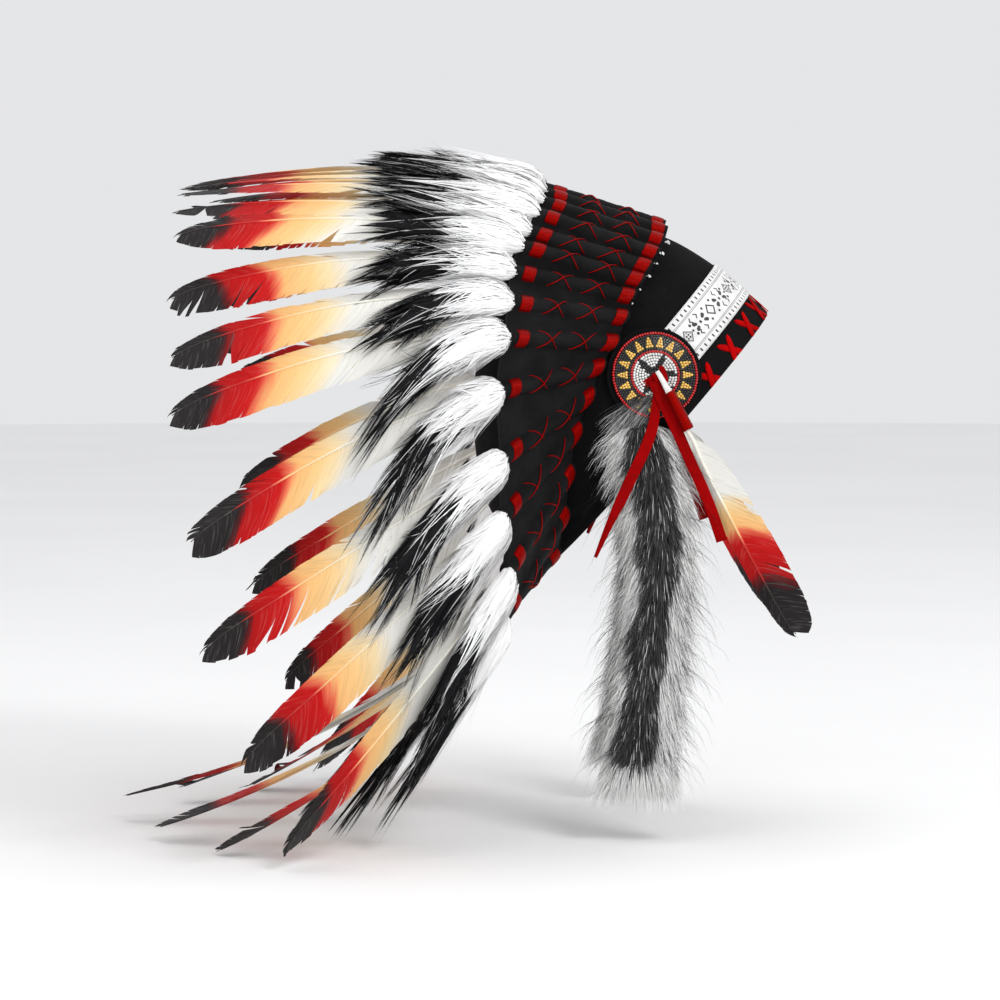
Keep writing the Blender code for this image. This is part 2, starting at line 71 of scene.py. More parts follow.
# Crown
RIM_TILT = math.radians(49)
CROWN_LENGTH = 217 * MM
CROWN_WIDTH = 158 * MM
CROWN_DEPTH = 150 * MM
CROWN_WALL = 2 * MM
CROWN_SECTIONS = (
    # height, length, width, forward
    (0.00, 1.000, 1.000, 0.000),
    (0.15, 1.005, 1.005, 0.000),
    (0.31, 0.995, 0.995, 0.005),
    (0.44, 0.935, 0.945, 0.040),
    (0.56, 0.845, 0.860, 0.080),
    (0.70, 0.690, 0.710, 0.130),
    (0.85, 0.450, 0.470, 0.180),
    (0.95, 0.230, 0.240, 0.200),
    (0.99, 0.080, 0.080, 0.200),
)
RIBBON_WIDTH = 29 * MM
RIBBON_RISE = 17 * MM
RIBBON_END = math.radians(63)

# Rosettes
ROSETTE_HEIGHT = 32 * MM
ROSETTE_AROUND = math.radians(74.5)
BEADWORK_STAND = 2.3 * MM
BEADWORK_THICKNESS = 2.6 * MM
BEAD_SEAT = BEADWORK_STAND + BEADWORK_THICKNESS - 0.55 * MM

# Sleeves and feathers
SLEEVE_RADIUS = 5.3 * MM
SLEEVE_LENGTH = 79 * MM
SLEEVE_END = 83 * MM
SLEEVE_WAISTS = (6.3 * MM, 72 * MM)
SEAM_REACH = 3.5 * MM
SEAM_THICKNESS = 0.8 * MM
CLOTH = 2.6 * MM
SLEEVES = (
    # name, height, around, sleeve climb, sleeve splay, feather climb, feather splay, tuft droop
    ("top", 0.560, 0, 17.5, 0, 0.5, 0, 0.0),
    ("01", 0.545, 15, 17.5, 2.5, 1.3, 5.5, 0.0),
    ("02", 0.530, 26, 18, 5, 2.3, 11, 0.0),
    ("03", 0.515, 36, 18.5, 8, 3.0, 16, 0.0),
    ("04", 0.505, 44.5, 16.5, 10.5, 3.4, 20.6, 0.0),
    ("05", 0.495, 52, 16.2, 13.5, 1.5, 26, 0.03),
    ("06", 0.480, 59.5, 12, 18, -4.9, 27, 0.08),
    ("07", 0.450, 67.5, 8, 26, -10.0, 28.5, 0.18),
    ("08", 0.425, 76.5, 3, 33, -12.6, 28.5, 0.30),
    ("09", 0.405, 85.5, -12.5, 37, -25.6, 29, 0.30),
    ("10", 0.361, 94.5, -34, 36, -32.7, 24, 0.20),
    ("11", 0.309, 105, -48, 32, -43.0, 23.5, 0.14),
    ("12", 0.219, 117.5, -57, 30, -51.0, 22, 0.14),
    ("13", 0.119, 131, -58.5, 25, -39, 12, 0.20),
    ("14", 0.035, 146, -48, 15, -30, 4, 0.24),
    ("nape", 0.020, 180, -42, 0, -25, 0, 0.24),
)
TUFT_GROUPS = (
    ("tuft_r1", ("r02", "r03", "r04")),
    ("tuft_r2", ("r05", "r06", "r07")),
    ("tuft_r3", ("r08", "r09", "r10")),
    ("tuft_r4", ("r11", "r12", "r13")),
    ("tuft_nape", ("r14", "nape", "l14")),
    ("tuft_l4", ("l13", "l12", "l11")),
    ("tuft_l3", ("l10", "l09", "l08")),
    ("tuft_l2", ("l07", "l06", "l05")),
    ("tuft_l1", ("l04", "l03", "l02")),
    ("tuft_top", ("l01", "top", "r01")),
)
FEATHER_LENGTH = 234 * MM
BLADE_WIDTH = 29 * MM
BLADE_REACH = 0.42
BLADE_TWIST = math.radians(13)
QUILL_SEAT = 8.7 * MM

# Outlines of a feather's two vanes: place along the feather and reach as a share of the vane's widest
LEADING_OUTLINE = (
    (0.00, 0.10),
    (0.06, 0.28),
    (0.16, 0.56),
    (0.30, 0.78),
    (0.50, 0.94),
    (0.65, 1.00),
    (0.76, 0.96),
    (0.85, 0.83),
    (0.92, 0.60),
    (0.97, 0.34),
    (1.00, 0.08),
)
TRAILING_OUTLINE = (
    (0.00, 0.08),
    (0.06, 0.13),
    (0.16, 0.40),
    (0.30, 0.66),
    (0.45, 0.84),
    (0.60, 0.97),
    (0.76, 1.00),
    (0.86, 0.96),
    (0.93, 0.80),
    (0.975, 0.52),
    (1.00, 0.14),
)

# Fur tails
TAIL_LENGTH = 240 * MM
TAIL_WIDTH = 45 * MM
TAIL_THICKNESS = 21 * MM
TAIL_BEHIND = 7.5 * MM
TAIL_DROP = 29.4 * MM
TAIL_GAP = 0.5 * MM
TAIL_SECTIONS = (
    # place, width, thickness, swing
    (0.00, 0.45, 0.35, 0.00),
    (0.05, 0.85, 0.55, 0.02),
    (0.15, 1.00, 0.90, 0.12),
    (0.35, 0.97, 1.00, 0.26),
    (0.60, 1.00, 1.00, 0.16),
    (0.85, 1.10, 1.00, 0.00),
    (0.96, 0.95, 0.80, -0.08),
    (1.00, 0.45, 0.35, -0.10),
)

# Shares of the tail's thickness at its core and at the roots of its hair
TAIL_CORE, TAIL_HAIR_ROOT = 0.52, 0.56
TAIL_HAIR = (
    # kind, hairs, places along the tail, length in millimetres, flare, width in millimetres
    ("coat", 18500, (0.0, 0.90), (13, 23), (0.45, 0.95), 0.46),
    ("fringe", 2300, (0.88, 0.95), (17, 27), (0.3, 1.0), 0.44),
    ("guard", 900, (0.05, 0.88), (24, 40), (0.5, 1.3), 0.27),
)

# Routes in millimetres forward, out and up from the middle of the beadwork's face
LACE_WIDTH = 7 * MM
LACE_THICKNESS = 0.8 * MM
LACE_ROUTES = {
    "lace_back": (
        (1.5, 1.5, -3.5),
        (1.0, 2.6, -10),
        (0.0, 4.3, -19),
        (-1.0, 7.6, -28),
        (-3.5, 11.6, -37),
        (-7.5, 15.6, -47),
        (-13.0, 19.2, -58),
        (-20.0, 20.8, -73),
        (-29.0, 21.2, -92),
        (-38.0, 21.2, -113),
    ),
    "lace_front": (
        (-1.5, 2.8, -3.5),
        (1.5, 3.9, -10),
        (5.5, 5.8, -18.5),
        (10.5, 8.4, -29),
        (16.0, 11.5, -41),
        (21.5, 15.0, -54),
        (27.5, 17.0, -67),
        (34.5, 18.0, -84),
        (41.0, 18.5, -103),
    ),
}

# Widths of a lace's tip and of its top in the knot, as shares of its width
LACE_TIP_SHARE = {"lace_back": 0.3, "lace_front": 1.0}
LACE_TOP_SHARE = {"lace_back": 0.62, "lace_front": 1.0}

# Thong, knot and pendant, with their routes and places in the same millimetres
THONG_THICKNESS = 1.2 * MM
THONG_ROUTE = ((1.0, 3.4, 2.4), (3.6, 5.4, -2.4), (6.4, 8.0, -7.4), (8.8, 9.8, -11.6))
THONG_ARM_ROUTE = ((2.6, 2.4, 1.2), (5.4, 4.6, -4.2), (9.2, 8.8, -11.2))
KNOT_TAB_ROUTE = ((-8.6, 0.7, -7.6), (-4.4, 1.6, -4.2), (-0.6, 2.2, -1.2))
KNOT_LEAF_ROUTE = ((3.2, 1.2, 5.8), (4.6, 2.6, 1.4), (7.0, 4.2, -5.2))
KNOT_TIE_ROUTE = ((-1.6, 1.0, 0.6), (0.0, 2.6, -1.6), (1.6, 2.4, -4.6))
CUFF_LENGTH = 28 * MM
CUFF_START = (6.6, 9.8, -9.6)
CUFF_TOP = (8.4, 9.6, -10.4)
CUFF_AIM = (13.6, 3.6, -24.0)
PENDANT_LENGTH = 148 * MM
PENDANT_WIDTH = 27 * MM
PENDANT_AIM = (70.0, -2.0, -131.0)
PENDANT_TURN = math.radians(20)

# Shares of the pendant's length from its tip, their places on the scale of dyed bands, and its slits
PENDANT_BANDS = ((0, 0.28, 0.48, 0.65, 1), (0, 0.14, 0.255, 0.43, 1))
PENDANT_SLITS = ((-1, 0.30, 0.36, 0.75, 0.02), (-1, 0.66, 0.69, 0.35, 0.004))


# Geometry


def unit(vectors):
    """Vectors drawn to a length of one."""
    vectors = np.asarray(vectors, float)
    return vectors / np.linalg.norm(vectors, axis=-1, keepdims=True)


def straight_rows(table, place):
    """Values of a table of rows at places, on straight lines between its rows."""
    table = np.asarray(table, float)
    place = np.clip(place, table[0, 0], table[-1, 0])
    return np.stack([np.interp(place, table[:, 0], table[:, k]) for k in range(1, table.shape[1])], -1)


def smooth_rows(table, place):
    """Values of a table of rows at places, on smooth curves through its rows."""
    table = np.asarray(table, float)
    at, values = table[:, 0], table[:, 1:]
    slope = np.gradient(values, at, axis=0)
    place = np.clip(place, at[0], at[-1])
    k = np.clip(np.searchsorted(at, place) - 1, 0, len(at) - 2)
    step = (at[k + 1] - at[k])[..., None]
    t = (place - at[k])[..., None] / step
    start = values[k] * (1 + 2 * t) * (1 - t) ** 2 + slope[k] * step * t * (1 - t) ** 2
    return start + values[k + 1] * t * t * (3 - 2 * t) + slope[k + 1] * step * t * t * (t - 1)


def ease(low, high, value):
    """A smooth rise from 0 to 1 as the value goes from low to high."""
    t = np.clip((np.asarray(value, float) - low) / (high - low), 0, 1)
    return t * t * (3 - 2 * t)


def lattice(rows, columns, wrap=False, joined=False):
    """Four-cornered faces between rows of points, whose rows may wrap into rings and join last to first."""
    index = np.arange(rows * columns).reshape(rows, columns)
    if wrap:
        index = np.hstack([index, index[:, :1]])
    if joined:
        index = np.vstack([index, index[:1]])
    corners = [index[:-1, :-1], index[:-1, 1:], index[1:, 1:], index[1:, :-1]]
    return np.stack(corners, -1).reshape(-1, 4)


class Form:
    """A piece's mesh, gathered from shells of points, faces and values at the points."""

    def __init__(self):
        self.points, self.faces, self.values, self.count = [], [], {}, 0

    def add(self, points, *faces, **values):
        points = np.asarray(points, float).reshape(-1, 3)
        self.faces += [np.asarray(corners, int) + self.count for corners in faces]
        for name, value in values.items():
            self.values.setdefault(name, []).append(np.broadcast_to(np.ravel(value), len(points)))
        self.points.append(points)
        self.count += len(points)

    def rings(self, rings, joined=False, **values):
        """A tube through rings of points, capped at each end, or its last ring joined to its first."""
        count, sides = rings.shape[:2]
        first = np.arange(sides)[None]
        caps = [first[:, ::-1], (count - 1) * sides + first]
        self.add(rings, lattice(count, sides, True, joined), *([] if joined else caps), **values)

    def mirrored(self):
        """The same form on the left side."""
        other = Form()
        other.points = [points * (1, -1, 1) for points in self.points]
        other.faces = [corners[:, ::-1] for corners in self.faces]
        other.values, other.count = self.values, self.count
        return other

    def piece(self, name, finish, slot, *replaced):
        points = np.concatenate(self.points)
        corners = np.concatenate([faces.ravel() for faces in self.faces])
        sizes = np.concatenate([np.full(len(faces), faces.shape[1]) for faces in self.faces])
        mesh = bpy.data.meshes.new(name)
        mesh.vertices.add(len(points))
        mesh.vertices.foreach_set("co", points.astype(np.float32).ravel())
        mesh.loops.add(len(corners))
        mesh.loops.foreach_set("vertex_index", corners.astype(np.int32))
        mesh.polygons.add(len(sizes))
        mesh.polygons.foreach_set("loop_start", np.concatenate([[0], np.cumsum(sizes)[:-1]]).astype(np.int32))
        mesh.update(calc_edges=True)
        for value, parts in self.values.items():
            attribute = mesh.attributes.new(value, "FLOAT", "POINT")
            attribute.data.foreach_set("value", np.concatenate(parts).astype(np.float32))
        mesh.shade_smooth()
        mesh.materials.append(finish.material)
        made = bpy.data.objects.new(name, mesh)
        bpy.context.scene.collection.objects.link(made)
        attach(made, "root")
        if replaced:
            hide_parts(*replaced)
        return made

    def both_sides(self, name, finish, slot, *replaced):
        """The right-hand piece and its mirror on the left."""
        right = self.piece(f"{name}_r", finish, slot, *(f"{node}_r" for node in replaced))
        left = self.mirrored().piece(f"{name}_l", finish, slot, *(f"{node}_l" for node in replaced))
        return right, left


def tube(form, route, radius, sides, **values):
    """A round tube along a route, whose radius may vary, with its values along it."""
    route = np.asarray(route, float)
    heading = unit(np.gradient(route, axis=0))
    side = unit(np.cross(heading, WORLD_UP + 0.01))
    up = np.cross(side, heading)
    turn = np.linspace(0, 2 * np.pi, sides, endpoint=False)
    radius = np.broadcast_to(radius, len(route))[:, None, None]
    round_it = side[:, None] * np.cos(turn)[:, None] + up[:, None] * np.sin(turn)[:, None]
    values = {name: np.repeat(np.broadcast_to(value, len(route)), sides) for name, value in values.items()}
    form.rings(route[:, None] + round_it * radius, **values)


def strands(form, paths, width, facing, **values):
    """Flat strands that taper to a point along paths of points, each with its values along it."""
    count, rows = paths.shape[:2]
    heading = unit(np.gradient(paths, axis=1))
    half = unit(np.cross(heading, facing)) * np.broadcast_to(width, (count, rows))[..., None] / 2
    pairs = np.stack([paths - half, paths + half], 2)[:, :-1].reshape(count, -1, 3)
    points = np.concatenate([pairs, paths[:, -1:]], 1)
    each = points.shape[1]
    start = np.arange(count)[:, None, None] * each
    quad = 2 * np.arange(rows - 2)[:, None] + np.array([0, 1, 3, 2])
    tip = np.array([[each - 3, each - 2, each - 1]])
    along = {}
    for name, value in values.items():
        value = np.broadcast_to(value, (count, rows))
        along[name] = np.concatenate([np.repeat(value[:, :-1], 2, axis=1), value[:, -1:]], 1)
    form.add(points, (quad + start).reshape(-1, 4), (tip + start).reshape(-1, 3), **along)


def over_floor(paths):
    """The same strands, shortened where they would reach too low."""
    root = paths[:, :1]
    fall = np.minimum(paths[..., 2].min(1) - root[:, 0, 2], -1e-6)
    share = np.clip((LOWEST_STRAND - root[:, 0, 2]) / fall, 0, 1)
    return root + (paths - root) * share[:, None, None]


# Finishes


def arithmetic(operation, flip=False):
    def apply(self, other=0.0):
        first, second = (other, self) if flip else (self, other)
        return self.finish.node("Math", {0: first, 1: second}, operation=operation)

    return apply


class Value:
    """A socket of a finish, so that sums of values are written as Python expressions."""

    def __init__(self, finish, socket):
        self.finish, self.socket = finish, socket

    __add__, __radd__ = arithmetic("ADD"), arithmetic("ADD", True)
    __sub__, __rsub__ = arithmetic("SUBTRACT"), arithmetic("SUBTRACT", True)
    __mul__, __rmul__ = arithmetic("MULTIPLY"), arithmetic("MULTIPLY", True)
    __truediv__, __rtruediv__ = arithmetic("DIVIDE"), arithmetic("DIVIDE", True)
    __lt__, __gt__ = arithmetic("LESS_THAN"), arithmetic("GREATER_THAN")
    __mod__ = arithmetic("FLOORED_MODULO")
    __or__, __and__ = arithmetic("MAXIMUM"), arithmetic("MINIMUM")
    __abs__ = arithmetic("ABSOLUTE")
    sine = arithmetic("SINE")

    def rise(self, low, high):
        """A smooth step from 0 to 1 as the value goes from low to high."""
        sockets = {"Value": self, "From Min": low, "From Max": high}
        return self.finish.node("MapRange", sockets, interpolation_type="SMOOTHSTEP")

    def ramp(self, *stops, interpolation="LINEAR"):
        return self.finish.node("ValToRGB", {0: self}, stops=stops, interpolation=interpolation)


class Finish:
    """A material, made from nodes around one shader."""

    def __init__(self, name, sockets):
        self.material = bpy.data.materials.new(name)
        self.material.use_nodes = True
        self.tree = self.material.node_tree
        self.shader = self.tree.nodes["Principled BSDF"]
        for socket, value in sockets.items():
            self.shader.inputs[socket].default_value = value

    def node(self, kind, sockets, out=0, stops=(), interpolation=None, **settings):
        """A node of a kind, with its settings made first and then its sockets' values or links."""
        made = self.tree.nodes.new("ShaderNode" + kind)
        for setting, value in settings.items():
            setattr(made, setting, value)
        if stops:
            made.color_ramp.interpolation = interpolation
            made.color_ramp.elements.remove(made.color_ramp.elements[1])
            made.color_ramp.elements[0].position = stops[0][0]
            for position, _ in stops[1:]:
                made.color_ramp.elements.new(position)
            for element, (_, colour) in zip(made.color_ramp.elements, stops):
                element.color = (*colour, 1)
        for socket, value in sockets.items():
            if isinstance(value, Value):
                self.tree.links.new(value.socket, made.inputs[socket])
            else:
                made.inputs[socket].default_value = value
        return Value(self, made.outputs[out])

    def value(self, name):
        """A value that the mesh holds at its points."""
        return self.node("Attribute", {}, "Fac", attribute_name=name)

    def place(self):
        return self.node("TexCoord", {}, "Object")

    def joined(self, x, y, z=0.0):
        return self.node("CombineXYZ", {0: x, 1: y, 2: z})

    def noise(self, scale, where=None, detail=3.0):
        sockets = {"Vector": self.place() if where is None else where, "Scale": scale, "Detail": detail}
        return self.node("TexNoise", sockets)

    def mix(self, share, first, second):
        first, second = [c if isinstance(c, Value) else (*c, 1) for c in (first, second)]
        return self.node("Mix", {0: share, 6: first, 7: second}, 2, data_type="RGBA")

    def paint(self, colour=None, roughness=None, height=None, depth=0.2, strength=1.0):
        """Colour, roughness and relief that vary over the surface. The relief's depth is in millimetres."""
        if height is not None:
            bump = self.node("Bump", {"Height": height, "Strength": strength, "Distance": depth * MM})
            self.tree.links.new(bump.socket, self.shader.inputs["Normal"])
        for socket, value in (("Base Color", colour), ("Roughness", roughness)):
            if value is not None:
                self.tree.links.new(value.socket, self.shader.inputs[socket])
        return self


def make_felt(name, dark, light, fuzz):
    felt = Finish(name, {"Sheen Weight": fuzz, "Sheen Roughness": 0.6, "Specular IOR Level": 0.06})
    fibres = felt.noise(1400, detail=4) * 0.6 + felt.noise(260) * 0.4
    worn = felt.noise(35).rise(0.35, 0.75)
    colour = felt.mix(fibres.rise(0.3, 0.7) * 0.6 + worn * 0.4, dark, light)
    return felt.paint(colour, 0.78 + fibres * 0.2, fibres, 0.35)


def make_sleeve_cloth():
    cloth = Finish("sleeve_cloth", {"Specular IOR Level": 0.14})
    along, across = cloth.value("along"), cloth.value("across")
    weave = (along * 7.9).sine() * (across * 7.9).sine()
    creases_and_crease_shade = cloth.noise(60, detail=2)
    threads = weave * 0.25 + cloth.noise(900) * 0.5 + creases_and_crease_shade
    # The cloth is painted darker in the hollows of the creases and lighter on their ridges: painted shade in
    # the creases
    colour = cloth.mix(creases_and_crease_shade.rise(0.35, 0.7), (0.003, 0.003, 0.0035), (0.0075, 0.0075, 0.0085))
    return cloth.paint(colour, 0.5 + cloth.noise(300) * 0.25, threads, 0.5)


def make_thread():
    sheen = {"Metallic": 0.35, "Specular IOR Level": 1.0, "Specular Tint": (1.0, 0.04, 0.02, 1.0)}
    thread = Finish("red_thread", sheen)
    wound = (thread.value("along") * 9.5).sine()
    # Streaks round the band, partly the threads' own lay and partly a painted satin sheen
    lay_and_sheen = thread.noise(1.0, thread.joined(thread.value("along") * 2.2, thread.value("across") * 0.12))
    # Dark to bright red along the wound lines and in the streaks: partly thread colour, partly painted sheen
    # and painted shade
    colour = thread.mix(wound * 0.25 + lay_and_sheen.rise(0.3, 0.7) * 0.75, (0.06, 0.0, 0.0), (0.48, 0.0, 0.0))
    return thread.paint(colour, 0.26 + lay_and_sheen * 0.16, wound * 0.4 + lay_and_sheen, 0.16)


def make_beads():
    beads = Finish("glass_beads", {"Specular IOR Level": 0.5, "Coat Weight": 0.25, "Coat Roughness": 0.08})
    shades = beads.value("shade").ramp(
        (0.0, (0.004, 0.004, 0.005)),
        (0.2, (0.55, 0.003, 0.005)),
        (0.45, (0.95, 0.60, 0.13)),
        (0.7, (0.86, 0.86, 0.84)),
        interpolation="CONSTANT",
    )
    tint = beads.noise(330).rise(0.3, 0.7) * 0.22
    return beads.paint(beads.mix(tint, shades, (0.02, 0.015, 0.012)), 0.12 + beads.noise(500) * 0.16)


def make_braid():
    """White woven braid with a charted pattern in black, in millimetres along and across it."""
    braid = Finish("woven_braid", {"Sheen Weight": 0.15, "Specular IOR Level": 0.35})
    along, across = braid.value("along"), braid.value("across")
    warp, weft = (along * 9.0).sine(), (across * 9.0).sine()
    edge = 14.5 - abs(across)
    dashes = (abs(along % 4.5 - 2.25) < 0.62) * (abs(edge - 2.8) < 1.15)
    lines = (abs(edge - 5.1) < 0.22) | (abs(edge - 6.0) < 0.3)
    repeat, side = abs((abs(along) + 21.0) % 54.0 - 27.0), abs(across)

    def spot(place, out, radius):
        return ((repeat - place) * (repeat - place) + (side - out) * (side - out)) < radius * radius

    diamond = abs(repeat + side - 3.9) < 0.72
    lattice_work = ((along % 1.9) < 1.35) * (((across + 19.0) % 1.9) < 1.35)
    tile = ((27.0 - repeat + side) < 3.3) * lattice_work | (abs(27.0 - repeat + side - 4.2) < 0.5)
    hearts = spot(7.7, 2.1, 1.35) | spot(8.9, 1.4, 1.1) | spot(18.0, 2.1, 1.35) | spot(16.8, 1.4, 1.1)
    stars = spot(4.6, 4.8, 0.9) | spot(12.8, 0.0, 1.0) | spot(20.6, 3.6, 1.0) | spot(21.4, 0.0, 0.8)
    chevrons = (abs(repeat - 11.0 - abs(side - 5.0)) < 0.6) * (repeat < 12.9)
    darts = (abs(repeat - 18.6 + abs(side - 5.0)) < 0.6) * (repeat > 16.8)
    motifs = (diamond | tile | hearts | stars | chevrons | darts) * (edge > 6.6)
    ink = (dashes | motifs) * (0.82 + braid.noise(700) * 0.3)
    grey = lines * 0.6
    cloth = braid.mix(braid.noise(90).rise(0.3, 0.7), (0.76, 0.76, 0.75), (0.88, 0.88, 0.87))
    printed = braid.mix(ink | grey, cloth, (0.02, 0.02, 0.022))
    relief = warp * weft * 0.5 - (1 - edge.rise(0.2, 1.2))
    return braid.paint(printed, 0.62 + braid.noise(400) * 0.2, relief, 0.2)


def make_feather_finish():
    """Dyed in bands from the tip: black, red, peach and white, with the dye drawn out along the barbs."""
    vane = Finish("dyed_feather", {"Specular IOR Level": 0.14})
    dye, barb, across = vane.value("dye"), vane.value("barb"), vane.value("across")
    streak = vane.noise(1.0, vane.joined(barb * 0.85, across * 1.3, vane.value("lot")), detail=4)
    broad = vane.noise(1.0, vane.joined(barb * 0.13, across * 0.8, vane.value("lot")), detail=2)
    bled = dye + (streak - 0.5) * 0.045 + (broad - 0.5) * 0.035
    bands = bled.ramp(
        (0.0, (0.016, 0.015, 0.016)),
        (0.118, (0.012, 0.009, 0.010)),
        (0.134, (0.10, 0.002, 0.004)),
        (0.150, (0.40, 0.0, 0.001)),
        (0.236, (0.52, 0.001, 0.002)),
        (0.258, (0.74, 0.14, 0.07)),
        (0.284, (0.86, 0.46, 0.17)),
        (0.350, (0.88, 0.56, 0.24)),
        (0.405, (0.86, 0.68, 0.40)),
        (0.470, (0.78, 0.77, 0.72)),
    )
    fine = (barb * 8.4).sine()
    worn = vane.mix(streak.rise(0.42, 0.72) * 0.16, bands, (0.02, 0.015, 0.012))
    lit = vane.mix((1 - streak).rise(0.5, 0.8) * 0.08, worn, (0.8, 0.72, 0.66))
    shaft = vane.value("shaft")
    whole = vane.mix(shaft * (0.03 + bled.rise(0.2, 0.45) * 0.25), lit, (0.84, 0.78, 0.64))
    relief = fine * (1 - shaft) * 0.22 + streak * (1 - shaft)
    return vane.paint(whole, 0.42 + streak * 0.25 - shaft * 0.1, relief, 0.2)


def make_hair(name, dark, middle, light):
    hair = Finish(name, {"Specular IOR Level": 0.16})
    tone = hair.value("tone")
    colour = tone.ramp((0.0, dark), (0.5, middle), (1.0, light))
    tinted = hair.mix(hair.noise(140).rise(0.4, 0.8) * 0.05, colour, dark)
    return hair.paint(tinted, 0.5 + hair.noise(600) * 0.25)


FELT = make_felt("black_felt", (0.0025, 0.0025, 0.003), (0.0068, 0.0068, 0.0074), 0.01)
RED_FELT = make_felt("red_felt", (0.17, 0.0, 0.0), (0.34, 0.0, 0.001), 0.0)
LACING_FELT = make_felt("red_lacing", (0.24, 0.0, 0.0), (0.50, 0.0, 0.001), 0.0)
THONG_LEATHER = make_felt("white_leather", (0.66, 0.65, 0.63), (0.86, 0.85, 0.83), 0.03)
SLEEVE_CLOTH = make_sleeve_cloth()
THREAD = make_thread()
BEADS = make_beads()
BRAID = make_braid()
FEATHER = make_feather_finish()
PLUME = make_hair("plume", (0.004, 0.004, 0.005), (0.76, 0.76, 0.76), (0.97, 0.97, 0.97))
FUR = make_hair("fur", (0.007, 0.007, 0.008), (0.40, 0.395, 0.39), (0.95, 0.95, 0.94))


# Camera


def make_camera():
    """A level view of the right side."""
    data = bpy.data.cameras.new("side_camera")
    data.lens = CAMERA_LENS
    data.clip_end = 20
    camera = bpy.data.objects.new("side_camera", data)
    camera.location = CAMERA_PLACE
    camera.rotation_euler = (Vector(CAMERA_AIM) - Vector(CAMERA_PLACE)).to_track_quat("-Z", "Y").to_euler()
    bpy.context.scene.collection.objects.link(camera)
    bpy.context.scene.camera = camera


make_camera()


# Crown and rosette frames

CAP_TURN = np.array(Matrix.Rotation(-RIM_TILT, 3, "Y"))


def cap_shape(height, around, inset=0.0, rows=smooth_rows):
    """Points of the crown in its own frame: forward, left and up from the rim."""
    height, around = np.broadcast_arrays(np.asarray(height, float), np.asarray(around, float))
    length, width, forward = np.moveaxis(rows(CROWN_SECTIONS, height), -1, 0)
    x = CROWN_LENGTH / 2 * forward + (CROWN_LENGTH / 2 * length - inset) * np.cos(around)
    y = -(CROWN_WIDTH / 2 * width - inset) * np.sin(around)
    return np.stack([x, y, CROWN_DEPTH * height], -1)


def cap_normal(height, around, rows=smooth_rows):
    """The ways out of the crown at its points, in its own frame."""
    step = 0.01
    across = cap_shape(height, around + step, 0, rows) - cap_shape(height, around - step, 0, rows)
    lower = np.where(height > step, height - step, 0.0)
    up = cap_shape(height + step, around, 0, rows) - cap_shape(lower, around, 0, rows)
    return unit(np.cross(up, across))


def on_crown(height, around, stand=0.0):
    """Points on the crown's felt, in the world, at a stand over it."""
    height, around = np.broadcast_arrays(np.asarray(height, float), np.asarray(around, float))
    return (cap_shape(height, around) + cap_normal(height, around) * stand) @ CAP_TURN.T


def rosette_frame():
    """Middle of the right rosette on the crown's side, and its forward, up and outward directions."""
    middle = CAP_TURN @ cap_shape(ROSETTE_HEIGHT / CROWN_DEPTH, ROSETTE_AROUND, 0, straight_rows)
    away = (CROWN_WIDTH * math.cos(ROSETTE_AROUND), -CROWN_LENGTH * math.sin(ROSETTE_AROUND), 0)
    out = unit(CAP_TURN @ np.array(away))
    up = unit(WORLD_UP - out * out[2])
    return middle, np.cross(up, out), up, out


ROSETTE = rosette_frame()


def from_rosette(place):
    """World points from millimetres forward, out and up from the middle of the beadwork's face."""
    middle, _, _, out = ROSETTE
    face = middle + out * (BEADWORK_STAND + BEADWORK_THICKNESS)
    return face + np.asarray(place, float) * (MM, -MM, MM)


def smooth_route(places, steps):
    """Points on a smooth curve through a route's own points."""
    spots = from_rosette(places)
    spots = np.vstack([2 * spots[0] - spots[1], spots, 2 * spots[-1] - spots[-2]])
    t = np.arange(steps)[:, None] / steps
    route = []
    for a, b, c, d in zip(spots, spots[1:], spots[2:], spots[3:]):
        cubic = (2 * a - 5 * b + 4 * c - d) * t**2 + (3 * b - a - 3 * c + d) * t**3
        route.append((2 * b + (c - a) * t + cubic) / 2)
    return np.vstack([*route, spots[-2]])


# Laces


def strip_rings(route, half, thickness):
    """Rounded rectangular rings of a flat strip along a route, for each ring's half width."""
    heading = unit(np.gradient(route, axis=0))
    across = unit(np.cross(heading, (0.0, 1.0, 0.0)))
    out = np.cross(heading, across)
    front = np.array(((1, 0.5), (0.86, 1), (0, 1.08), (-0.86, 1), (-1, 0.5)))
    outline = np.vstack([front, -front])
    wide = across[:, None] * outline[:, :1] * np.reshape(half, (-1, 1, 1))
    return route[:, None] + wide + out[:, None] * outline[:, 1:] * thickness / 2


def make_laces():
    """Two flat felt laces a side, which narrow in the knot and hang free."""
    for name, places in LACE_ROUTES.items():
        route = smooth_route(places, 4)
        down = np.linspace(0, 1, len(route))
        top, tip = LACE_TOP_SHARE[name], LACE_TIP_SHARE[name]
        narrow = np.interp(down, (0, 0.12, 0.42), (top, top + 0.05, 1)) * np.interp(down, (0.8, 1), (1, tip))
        form = Form()
        form.rings(strip_rings(route, LACE_WIDTH / 2 * narrow, LACE_THICKNESS))
        for lace, flip in zip(form.both_sides(f"{name}_felt", RED_FELT, "lace_red", name), (1, -1)):
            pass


make_laces()


# Crown, braid and brow


